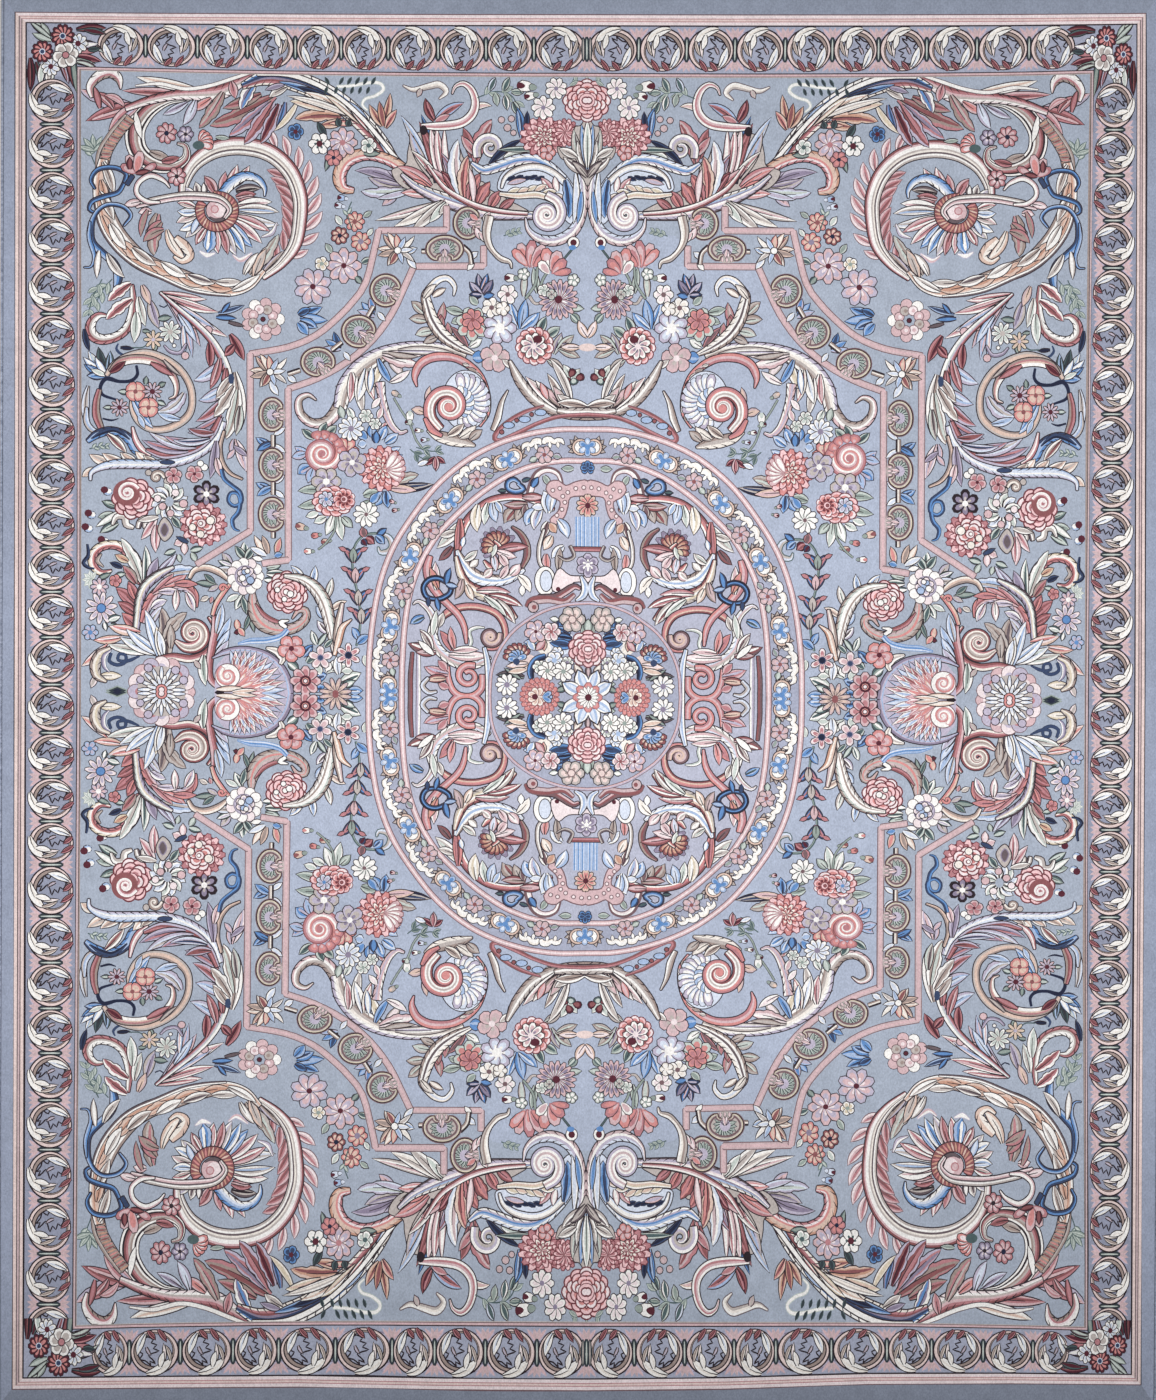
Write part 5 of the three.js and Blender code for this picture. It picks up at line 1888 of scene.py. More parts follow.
# The acanthus column stands between the shell and the medallion, with a stem of bluebells beside it
# and a posy of open flowers at its foot.
def side_column():
    """The acanthus column, the bluebell stem and the posy between the shell and the medallion."""
    # leaves of the column, from its far tip to its base
    drawn(blade,
          (284, 112, 297, 128, 7, "ivory sky stone", 20), (277, 108, 273, 128, 7, "ivory sky", 16),
          (262, 96, 256, 116, 7, "stone ivory mint", 10), (258, 84, 242, 94, 6, "cream peach taupe", -30),
          (268, 98, 278, 104, 6, "stone ivory", -10), (262, 90, 274, 96, 6, "ivory stone", -10),
          (262, 76, 272, 88, 7, "sky ice stone", -14), (260, 62, 271, 74, 7, "lilac ivory soft", -20))
    stem([(254, 42), (256, 58), (259, 74), (264, 92), (273, 106), (286, 115), (304, 118)],
         [4, 8, 11, 13, 12, 8, 3], "stone ivory taupe ivory ivory mint taupe")
    stem([(252, 42), (252, 60), (249, 78), (246, 92)], [2, 6, 6, 3], "taupe cream dusk")
    stem([(254, 40), (250, 54), (246, 68), (237, 76)], [3, 6, 6, 1], "peach cream orange")
    drawn(blade,
          (272, 50, 277, 64, 6, "mint ivory fir"), (270, 50, 262, 62, 5, "fir mint"),
          (264, 48, 256, 56, 5, "mint fir"))
    # the bluebells
    stem([(232, 50), (229, 64), (228, 80), (230, 98), (234, 116), (236, 134), (233, 150), (224, 160),
          (212, 162), (203, 160)], [1.6] * 10, "fir sage", edge=0.6, line_yarn="fir")
    stem([(206, 162), (199, 158), (196, 150), (200, 144), (208, 143), (210, 148)], [2, 4, 5, 5, 4, 1],
         "ice stone", line_yarn="fir")
    for u, v, yarn in ((230, 96, "stone"), (227, 78, "stone"), (233, 118, "pink"), (235, 138, "sage")):
        drawn(blade,
              (u, v - 6, u + 10, v + 9, 7, "navy rose", 40),
              (u, v - 6, u - 10, v + 9, 7, "navy blue rose", -40), (u, v - 5, u, v + 9, 7, yarn))
        drawn(leaf, (u + 7, v + 6, 150, 8, 4, "rose", 10), (u - 7, v + 6, 30, 8, 4, "rose", -10))
    drawn(blade,
          (224, 158, 226, 168, 8, "rose clove"), (222, 158, 214, 152, 9, "wine rose brick"),
          (226, 156, 222, 150, 6, "navy wine"), (211, 160, 202, 167, 6, "navy blue"),
          (212, 160, 204, 152, 8, "blue sky navy"), (230, 56, 236, 68, 7, "blue sky", 20),
          (231, 52, 220, 61, 8, "sky blue", -10))
    # the posy
    drawn(blade,
          (286, 38, 276, 50, 8, "blue navy sky"), (276, 16, 262, 20, 10, "blue sky navy"),
          (276, 4, 264, 8, 8, "sky blue navy"), (282, 32, 272, 40, 7, "mint fir"),
          (300, 32, 290, 24, 9, "fir sage ivory"), (262, 22, 248, 36, 9, "ivory mint"),
          (256, 24, 240, 30, 9, "ivory mint"), (250, 20, 252, 38, 8, "ivory ice"),
          (268, 20, 272, 30, 8, "ivory mint"), (248, 12, 228, 22, 11, "mint ivory fir"),
          (246, 8, 234, 14, 8, "fir mint ivory"), (240, 4, 226, 4, 8, "sky blue ice"),
          (262, 24, 258, 32, 7, "ivory"), (246, 24, 236, 24, 8, "ivory mint"),
          (224, 40, 221, 28, 7, "ivory mint"))
    bloom(297, 46, 14, 5, "coral pink rose", "wine", 0.2, 54, 0.9)
    bloom(268, 37, 12, 5, "blush pink", "navy", 0.22, 18, 0.6, eye_rim="mauve")
    bloom(240, 40, 12.5, 6, "blush rose pink", "ink", 0.24, 30, 0.56, eye_rim="navy")
    bloom(283, 13, 15.5, 8, "pink rose", "wine", 0.38, 0, 0.9)
    posy("coral", (283, 13, 3.6))
    posy("blush", (283, 13, 1.8))
    bloom(253, 1, 16, 11, "dusk peach taupe", "brick", 0.2, 8, 0.56)
    # blue leaves by the frame's shoulder
    drawn(blade,
          (288, 384, 266, 391, 9, "sky blue navy", 10), (288, 382, 261, 378, 9, "blue sky", 10),
          (288, 378, 271, 371, 9, "blue sky navy", -10), (290, 376, 280, 364, 9, "sky blue", -10),
          (290, 384, 278, 390, 7, "blue navy"))


side_column()


# The stepped frame round the inner field: two ribbons of pink wool, mitred at each step, with C-shaped
# roundels between them that small bars and leaves tie together.
def crest(u, v, ra, rb, facing):
    """A C-shaped roundel of the frame with curled ends; its palmette opens towards facing."""
    out = heading(facing)
    side = np.array([-out[1], out[0]])
    centre = np.array([u, v])

    def at(share, turn):
        way = out * math.cos(math.radians(turn)) + side * math.sin(math.radians(turn))
        return centre + way * (ra - 2.4, rb - 2.4) * share

    area(oval(u, v, ra - 1, rb - 1), "stone")
    for turn in range(58, 310, 21):
        leaf(u, v, facing + turn, min(ra, rb) * 0.78, 3.4, "mint sage", 8 if turn < 180 else -8,
             line_yarn="pine", edge=0.9)
    area(oval(u, v, 5.6), "lilac")
    for turn, yarns in ((-34, "mauve lilac"), (34, "mauve lilac"), (-12, "pink blush"), (12, "blush pink")):
        leaf(u, v, facing + turn, min(ra, rb) * 0.6, 3.0, yarns, edge=0.6)
    # share of the roundel's size, turn from the palmette
    spots = [(0.5, 24), (0.6, 36), (0.78, 36), (0.95, 30), (1, 48), (1, 80), (1, 115), (1, 150), (1, 180),
             (1, 210), (1, 245), (1, 280), (1, 312), (0.95, 330), (0.78, 324), (0.6, 324), (0.5, 336)]
    ring = [at(*spot) for spot in spots]
    stem(ring, [1, 3, 3.6, 4, 4, 4, 4, 4, 4, 4, 4, 4, 4, 4, 3.6, 3, 1], "umber straw stone clove", edge=0.9,
         line_yarn="clove")
    for turn in (-14, 0, 14):
        leaf(*at(1.06, turn), facing + 180, 5, 2.4, "blush pink", edge=0.5)


def frame_corner(u, v):
    """Acanthus that fills a corner of the frame."""
    # angle, length, width, yarns, bend
    for angle, length, width, yarns, bend in [
        (170, 20, 6, "peach cream taupe", 10),
        (140, 21, 6, "taupe peach brick", -14),
        (112, 20, 6, "peach cream", 14),
        (86, 16, 6, "coral peach", 20),
        (200, 20, 6, "peach taupe", -12),
        (228, 18, 6, "taupe cream", 16),
        (252, 16, 6, "peach brick", -20),
        (20, 22, 4.4, "ivory cream", 40),
        (-20, 20, 4.4, "ivory stone", -30),
        (0, 15, 4.4, "ivory ice", 10),
        (50, 15, 4.4, "ice sky", 20),
        (-60, 14, 4.4, "ice sky", -20),
    ]:
        leaf(u, v, angle, length, width, yarns, bend)
    area(oval(u, v, 4.2), "outline")
    area(oval(u, v, 3.2), "ivory")


def ribbon_frame():
    """The stepped frame: two pink ribbons, crested roundels tied by bars, and leaves."""
    outer = [(141, 492), (141, 468), (209, 468), (213, 450), (222, 416), (234, 398), (250, 381), (272, 363),
             (300, 351), (338, 344), (338, 163), (392, 128)]
    inner = [(104, 452), (104, 432), (174, 432), (183, 412), (196, 385), (215, 359), (240, 337), (270, 320),
             (300, 309), (300, 134), (326, 130)]
    area(outer[:-1] + [(352, 160)] + inner[::-1], "field")
    corners = [(141, 468), (209, 468), (338, 344), (338, 163), (104, 432), (174, 432), (300, 309),
               (300, 134)]
    for line in (outer, inner):
        run = []
        for point in line:
            run.append(point)
            if point in corners or point is line[-1]:
                stem(run, [5.6, 5.6], "dusk pink pink dusk", edge=0.9, step=12, line_yarn="clove")
                run = [point]
    for at in corners:
        area(oval(at[0], at[1], 2.2, count=8), "pink")
    # bars and leaves between the roundels
    drawn(blade,
          (316, 250, 332, 259, 7, "blue sky navy", -10), (316, 254, 331, 246, 7, "navy blue", 10),
          (316, 205, 332, 212, 7, "blue sky navy", -10), (316, 208, 331, 199, 7, "sky blue", 10),
          (314, 262, 303, 270, 5, "ivory ice"), (314, 252, 303, 244, 5, "ivory ice"),
          (314, 212, 304, 220, 5, "ivory ice"), (314, 204, 304, 197, 5, "ivory ice"),
          (214, 384, 226, 396, 6, "blue sky", -10), (213, 382, 230, 388, 6, "sky lilac", 10),
          (214, 386, 218, 400, 6, "lilac blue"), (210, 386, 203, 378, 5, "ivory ice"),
          (248, 350, 254, 366, 6, "blue navy", -10), (248, 349, 262, 358, 6, "sky blue", 10),
          (247, 349, 266, 350, 5, "lilac sky"), (244, 346, 238, 338, 5, "ivory ice"),
          (180, 442, 172, 430, 6, "ivory ice", 10), (182, 446, 171, 450, 6, "ivory sky"),
          (118, 440, 110, 446, 6, "ivory ice"), (114, 436, 120, 428, 5, "ivory"),
          (318, 316, 310, 303, 6, "ivory ice", 10), (300, 322, 292, 316, 6, "ivory ice", 10))
    for points in ([(315, 262), (315, 250)], [(315, 214), (315, 200)], [(214, 392), (220, 382)],
                   [(246, 356), (256, 348)], [(166, 447), (160, 447)], [(300, 324), (288, 328)],
                   [(315, 164), (315, 156)], [(125, 452), (118, 445), (116, 434)]):
        stem(points, [4.4, 4.4], "outline cream taupe", edge=0.6)
    frame_corner(190, 448)
    frame_corner(318, 326)
    # roundels: u, v, half width, half height, the way the palmette faces
    drawn(crest,
          (120, 475, 15, 17, 0), (143, 449, 19.5, 14.5, -90), (202, 408, 16.5, 17, -20),
          (229, 367, 18, 17, -35), (270, 336, 18, 15.5, -55), (316, 283, 14, 18, 0), (316, 231, 14, 18, 0),
          (316, 180, 14.5, 18, 0))
    # the lower end of the frame
    drawn(blade,
          (322, 140, 334, 158, 6, "peach cream", -16), (320, 140, 326, 158, 6, "peach taupe", 10),
          (312, 140, 308, 156, 6, "peach coral", -10), (322, 138, 338, 146, 6, "ivory ice", 10),
          (314, 138, 306, 140, 6, "sky blue"), (326, 134, 336, 136, 5, "ivory"),
          (112, 470, 106, 458, 6, "pink blush", 10), (110, 478, 118, 484, 6, "pink coral"),
          (104, 476, 98, 486, 6, "ivory pink"), (108, 466, 100, 455, 6, "ivory pink"))
    stem([(98, 482), (101, 466), (98, 452), (88, 440), (78, 436), (76, 430)], [8, 8, 6, 4, 5, 1],
         "ivory cream taupe stone")


ribbon_frame()


# The inner field, in paler blue wool, lies between the stepped frame and the medallion: a wheel scroll,
# a plume, a posy on each side and a garland under the head of the frame.
def wheel_scroll():
    """The long scroll with its ivory leaves, and the wheel of petals that it winds into."""
    stem([(272, 298), (280, 303), (289, 298), (288, 285), (277, 275), (262, 276), (251, 288), (245, 304)],
         [1, 5, 7, 8, 9, 11, 12, 10], "taupe stone ivory pink")
    drawn(blade,
          (240, 300, 244, 324, 8, "lilac pink", -30), (216, 330, 252, 312, 8, "lilac pink blush", -20))
    stem([(248, 290), (243, 310), (230, 328), (212, 341), (190, 349), (165, 352), (140, 350), (122, 343)],
         [12, 16, 17, 15, 12, 10, 8, 4], "lilac ivory cream stone taupe ivory")
    drawn(blade,
          (236, 326, 238, 296, 9, "ivory rose pink", -16), (230, 322, 225, 285, 9, "ivory stone", 10),
          (222, 330, 230, 297, 9, "ivory ivory ice", -10), (220, 330, 214, 298, 8, "cream rose ivory", 16),
          (206, 338, 214, 312, 8, "ivory straw", -10), (210, 340, 196, 315, 7, "sky blue", 20),
          (200, 342, 185, 322, 9, "stone blush", -10), (205, 343, 170, 334, 12, "pink blush ivory", 16),
          (206, 345, 162, 345, 8, "blush stone", 10), (200, 346, 170, 342, 5, "taupe stone", 20),
          (190, 348, 135, 346, 8, "stone ivory lilac", -10), (216, 330, 218, 306, 6, "sky ivory"))
    stem([(208, 316), (206, 300), (202, 285), (196, 272), (188, 265), (181, 267)], [9, 7, 7, 6, 5, 2],
         "ivory pink lilac pink")
    drawn(blade,
          (208, 300, 216, 290, 6, "ivory blush"), (206, 290, 210, 279, 6, "ivory pink"),
          (198, 316, 178, 328, 7, "ivory blush", 20), (202, 275, 206, 268, 5, "ivory rose"))
    # pink arc and the wheel
    stem([(171, 312), (173, 322), (168, 334), (156, 341), (140, 342), (126, 338), (112, 328), (104, 316),
          (100, 300), (101, 285), (108, 272)], [1, 7, 8, 8, 7, 7, 6, 5, 5, 5, 2], "coral pink rose")
    fingers([(104, 274), (98, 290), (100, 308), (108, 324), (122, 336)], -1, 8, 12,
            ["stone taupe", "ivory stone"], lean=30, curl=16)
    area(oval(122, 298, 24, 31), "outline")
    area(oval(122, 298, 23, 30), "ice")
    for k, turn in enumerate(range(-95, 115, 15)):
        out = heading(turn)
        petal(124 + out[0] * 7, 298 + out[1] * 8, turn, 20, 9, ("ice ivory sky", "lilac ivory ice")[k % 2],
              edge=0.7)
    for k, turn in enumerate(range(-80, 90, 20)):
        petal(130, 296, turn, 17, 8, ("ivory ice", "sky ice ivory")[k % 2], edge=0.6)
    stem([(160, 268), (150, 262), (136, 258), (122, 255), (113, 252)], [3, 10, 12, 10, 2],
         "taupe stone cream")
    drawn(blade,
          (128, 260, 112, 272, 9, "stone cream", 20), (140, 262, 124, 274, 8, "cream taupe", 20),
          (163, 285, 176, 289, 8, "dusk peach", 30), (118, 258, 106, 268, 8, "taupe stone", -10),
          (160, 292, 158, 312, 6, "dusk peach", -20))
    stem(coil(139, 292, 25, 4, 250, -1.9), [9, 11, 11, 11, 10, 9, 7, 4],
         "rose coral ivory stone ivory brick", cut=False)
    area(oval(139, 291, 4.4), "coral")
    stem([(163, 280), (156, 268), (146, 262)], [3, 6, 3], "rose coral")


wheel_scroll()


def plume():
    """The grey acanthus plume beside the wheel."""
    drawn(blade,
          (163, 385, 176, 397, 9, "stone taupe mint", 10), (160, 378, 178, 380, 9, "taupe stone mint", 20),
          (155, 368, 172, 364, 9, "stone mint", 20), (150, 362, 164, 356, 7, "taupe stone", 10),
          (150, 372, 144, 396, 8, "rose taupe dusk", 20), (146, 368, 147, 384, 7, "rose brick taupe", -10),
          (140, 360, 140, 376, 7, "taupe rose", 20), (134, 356, 130, 366, 6, "stone taupe", 10),
          (120, 352, 137, 372, 6, "rose clove", 20))
    stem([(114, 345), (130, 353), (145, 364), (155, 378), (160, 392), (162, 404), (156, 412)],
         [3, 8, 11, 12, 11, 9, 4], "taupe ivory soft ivory cream")
    stem([(160, 408), (150, 418), (140, 420), (133, 412), (134, 403)], [6, 6, 5, 4, 1], "cream ice ivory")
    drawn(blade, (164, 400, 152, 414, 7, "stone cream", -20), (155, 402, 142, 410, 6, "taupe cream", -10))


plume()


def inner_posies():
    """The posy beside the frame, the garland at the head, and the small sprays between."""
    drawn(blade,
          (278, 236, 293, 250, 9, "sky lilac blue", 16), (278, 230, 290, 222, 11, "sky blue lilac", 20),
          (275, 228, 280, 213, 9, "lilac sky"), (282, 243, 296, 239, 8, "lilac sky"),
          (268, 262, 262, 275, 8, "mint fir"), (262, 262, 252, 272, 8, "mint sage fir"),
          (274, 258, 286, 268, 7, "mint fir"), (262, 205, 290, 204, 9, "mint sage", 20),
          (262, 196, 290, 188, 9, "mint sage", -20), (225, 200, 210, 205, 9, "mint sage"),
          (226, 192, 212, 190, 8, "sage mint"), (255, 180, 262, 160, 9, "mint ivory", -10),
          (250, 180, 246, 155, 9, "ivory mint", 10), (246, 178, 236, 168, 8, "sage mint"),
          (262, 178, 274, 172, 8, "ivory mint"), (270, 182, 282, 178, 7, "ivory mint"),
          (200, 212, 170, 222, 12, "stone taupe mint", -16), (200, 208, 155, 212, 9, "ink stone navy", 14),
          (200, 208, 172, 206, 8, "peach pink"), (208, 235, 186, 242, 9, "sky blue", 16),
          (205, 240, 188, 250, 8, "sky ice blue"), (245, 280, 248, 292, 7, "sage mint"),
          (222, 258, 230, 268, 9, "sky blue"), (216, 260, 216, 274, 9, "blue sky"),
          (208, 258, 202, 272, 9, "sky blue ice"), (203, 254, 190, 264, 9, "sky ice blue"),
          (222, 254, 230, 252, 9, "ice sky"), (212, 254, 212, 266, 8, "navy blue"),
          (205, 205, 212, 190, 10, "blue sky"), (202, 205, 200, 188, 9, "sky blue navy"),
          (210, 202, 218, 192, 8, "sky blue"), (240, 290, 234, 278, 7, "ivory mint"))
    bloom(243, 246, 14, 7, "coral peach rose", eye="brick")
    stem(coil(266, 243, 21, 4, 60, -2.4), [7, 8, 8, 8, 8, 7, 6, 4], "rose pink ivory coral",
         line_yarn="brick")
    area(oval(266, 243, 3.5), "rose")
    for turn in range(10, 130, 24):
        out = heading(turn)
        petal(266 + out[0] * 15, 243 + out[1] * 15, turn, 9, 10, "rose coral pink", line_yarn="brick")
    bloom(237, 269, 13, 11, "ivory ice", eye="mauve", eye_share=0.24)
    bloom(222, 282, 7, 6, "ivory mint", eye="sage")
    bloom(213, 274, 6, 6, "ivory mint", eye="sage")
    mum(206, 228, 24, "garnet coral flush")
    petal(196, 232, 12, 13, 8, "ivory blush")
    for turn in (-40, -20, 0, 20, 40, 60):
        petal(202, 228, turn, 20, 7, "pink ivory", edge=0.8, line_yarn="brick")
    bloom(236, 234, 15, 6, "lilac stone mauve", eye="ivory", eye_share=0.2, turn=20)
    bloom(262, 214, 15, 6, "stone lilac mauve", eye="ivory", eye_share=0.24)
    rose(255, 194, 22, "garnet coral flush", rows=2, count=11, squash=0.74, heart="blue")
    bloom(262, 196, 8, 7, "ice lilac", eye="blue")
    rose(244, 196, 11, "garnet coral flush", rows=1, heart="brick")
    bloom(222, 181, 13, 10, "ivory ivory mint", eye="clove", eye_share=0.16)
    # small sprays
    drawn(bud,
          (281, 166, 165, 12, "peach brick"), (268, 160, 190, 9, "coral brick"),
          (258, 154, 190, 9, "peach brick"), (275, 143, 180, 9, "ivory coral"),
          (176, 274, 160, 7, "mint wine"), (166, 267, 175, 7, "ivory wine"), (160, 258, 185, 7, "ice wine"),
          (193, 193, 160, 6, "pink wine"), (190, 186, 190, 6, "pink wine"))
    stem([(252, 178), (254, 164), (262, 152), (270, 145)], [1.6, 1.6], "sage", edge=0.5)
    stem([(194, 300), (187, 288), (178, 274), (172, 258), (165, 248)], [1.6, 1.6], "sage", edge=0.5)
    sprig([(172, 250), (156, 246), (146, 248)], 2, 9, "mint fir")
    sprig([(178, 248), (168, 240), (160, 236)], 2, 9, "sage fir")
    bud(188, 302, 150, 9, "stone peach")
    bud(178, 275, 90, 12, "ivory mint", cup="mint")
    drawn(blade,
          (152, 240, 162, 232, 5, "rose wine"), (152, 240, 143, 234, 5, "rose wine"),
          (152, 240, 152, 226, 6, "pink wine rose"), (170, 232, 160, 236, 5, "ivory ice"))
    # garland below the head of the frame
    drawn(blade,
          (105, 406, 110, 424, 7, "navy lilac mauve", -10), (107, 405, 100, 424, 7, "navy blue pink", 10),
          (105, 404, 95, 418, 8, "navy mauve", 10), (106, 404, 118, 416, 8, "navy lilac", -10),
          (106, 403, 118, 404, 7, "ink navy lilac"), (104, 402, 94, 404, 7, "navy blue"),
          (68, 370, 78, 397, 9, "sky ice blue", -14), (67, 370, 62, 399, 10, "blue sky"),
          (66, 370, 48, 386, 10, "sky blue ice", 14), (50, 365, 42, 382, 9, "mint fir"),
          (42, 362, 28, 372, 9, "mint sage fir"), (115, 342, 103, 342, 12, "blue blue sky"),
          (118, 352, 106, 360, 8, "mint ivory"), (125, 386, 142, 390, 8, "mint sage"),
          (126, 380, 136, 376, 7, "mint sage"), (110, 394, 118, 402, 7, "mint sage"),
          (40, 340, 24, 330, 8, "stone soft mint"), (34, 345, 26, 366, 8, "stone mauve mint"),
          (30, 350, 14, 364, 8, "mint taupe stone"), (28, 350, 8, 342, 8, "stone taupe mint"),
          (26, 355, 13, 350, 6, "mauve stone"), (20, 392, 4, 390, 7, "sage mint"),
          (16, 385, 8, 376, 8, "sage fir mint"), (64, 402, 62, 426, 6, "stone mint", -10),
          (50, 405, 54, 430, 7, "mint sage"), (45, 405, 34, 416, 7, "mint sage"))
    stem([(58, 402), (52, 395), (40, 398)], [3, 2, 1], "stone", edge=0.6)
    stem([(62, 400), (52, 415), (50, 432)], [2, 2], "sage", edge=0.6)
    drawn(bloom,
          (115, 375, 17, 7, "mint coral rose", "brick", 0.2, 10),
          (115, 379, 11, 7, "coral rose", "brick", 0.2), (88, 371, 17, 7, "lilac ice ivory", "ivory", 0.3),
          (80, 404, 10, 6, "ivory blush", "clove", 0.26),
          (96, 391, 10, 6, "ivory cream", "clove", 0.26, 20), (85, 390, 7, 5, "cream ivory", "cream", 0.3),
          (93, 341, 15, 5, "pink dusk stone", "blush", 0.22, 10))
    rose(53, 353, 21, "garnet coral flush", rows=1, count=13)
    area(oval(54, 353, 14), "brick")
    bloom(54, 353, 13.5, 9, "ivory pink mauve", eye="blush")
    area(oval(50, 360, 5, 4), "wine")
    bloom(29, 399, 20, 17, "pink mauve ivory", eye="wine", eye_share=0.2, fat=0.9)
    drawn(blade, (0, 362, 9, 378, 8, "peach blush", -20), (8, 352, 26, 352, 7, "peach blush"))
    area(oval(0, 352, 9, 4), "shell")
    # wine and white bud beside the centre line
    drawn(blade, (16, 318, 24, 334, 8, "ivory mint", 20), (16, 320, 8, 330, 7, "ivory mint"))
    drawn(petal,
          (18, 322, 60, 9, 7, "wine brick"), (12, 320, 20, 9, 7, "wine brick"),
          (17, 320, 200, 9, 8, "wine brick"), (15, 321, -70, 7, 8, "fir mint"))
    # tulips and the ball on its stem
    stem([(36, 432), (45, 418), (48, 405)], [2, 2], "sage", edge=0.6)
    stem([(14, 450), (24, 438), (30, 428)], [1.6, 1.6], "fir", edge=0.5)
    drawn(petal,
          (60, 430, 108, 26, 11, "pink coral rose"), (58, 430, 84, 28, 11, "rose pink coral"),
          (56, 430, 62, 26, 11, "pink rose coral"), (60, 432, 132, 22, 9, "coral pink"),
          (54, 431, 45, 18, 8, "rose coral"), (38, 426, 100, 24, 12, "coral pink ivory"),
          (36, 426, 70, 22, 12, "pink coral rose"), (36, 424, 45, 20, 10, "rose coral pink"),
          (38, 424, 130, 16, 9, "ivory pink"), (34, 424, 10, 18, 7, "rose coral"))
    area(oval(14, 455, 6.4), "outline")
    area(oval(14, 455, 5.6), "ivory")
    area(oval(14, 455, 3.4), "wine")
    area(oval(15, 450, 4, 2.6), "blue")
    bud(70, 420, 178, 13, "ivory wine")
    drawn(bloom,
          (64, 424, 6, 5, "mint ivory", "sage"), (44, 408, 6, 5, "ivory mint", "sage"),
          (14, 418, 6, 5, "mint ivory", "sage"), (36, 404, 5, 4, "mint stone", "soft"))
    sprig([(84, 462), (76, 465), (68, 467)], 3, 6, "mint sage")


inner_posies()


def cartouche():
    """The bar of blue beads over the medallion, and the acanthus that rises beside it."""
    fingers([(20, 283), (36, 290), (52, 304), (66, 322), (78, 338)], -1, 5, 17,
            ["ivory stone", "stone blush"], lean=30, curl=20, swell=(0.7, 1, 1, 0.8))
    stem([(78, 338), (68, 318), (54, 300), (38, 290), (20, 284), (0, 283)], [3, 9, 10, 9, 8, 9],
         "stone ivory stone taupe")
    drawn(blade,
          (30, 290, 62, 322, 8, "ivory pink stone"), (28, 292, 52, 318, 8, "stone ivory"),
          (26, 292, 44, 312, 8, "taupe pink"), (24, 290, 40, 325, 8, "ivory taupe", 20),
          (20, 290, 34, 312, 8, "stone pink", 10), (16, 296, 37, 340, 8, "ivory stone", 26),
          (10, 292, 30, 304, 8, "ivory stone", -10), (0, 292, 30, 296, 9, "ivory taupe", 16),
          (40, 300, 47, 316, 6, "coral pink"))
    stem([(0, 286), (16, 286), (30, 288)], [9, 9, 4], "taupe ivory stone")
    stem([(44, 293), (64, 286), (82, 275), (93, 262), (88, 257), (70, 265), (50, 275), (28, 282), (0, 284)],
         [1, 3, 3, 4, 4, 3, 3, 3, 3], "rose brick", edge=0.8, line_yarn="clove")
    for u, v in ((79, 273), (63, 279), (47, 286)):
        area(oval(u, v, 6.4, 3.8), "outline")
        area(oval(u, v, 5.4, 3.0), "sky")
    posy("brick", (71, 278, 1.8), (56, 284, 1.8), (86, 266, 2))
    stem([(95, 268), (90, 280), (86, 296), (80, 308)], [4, 6, 4, 1], "taupe stone ivory")


cartouche()


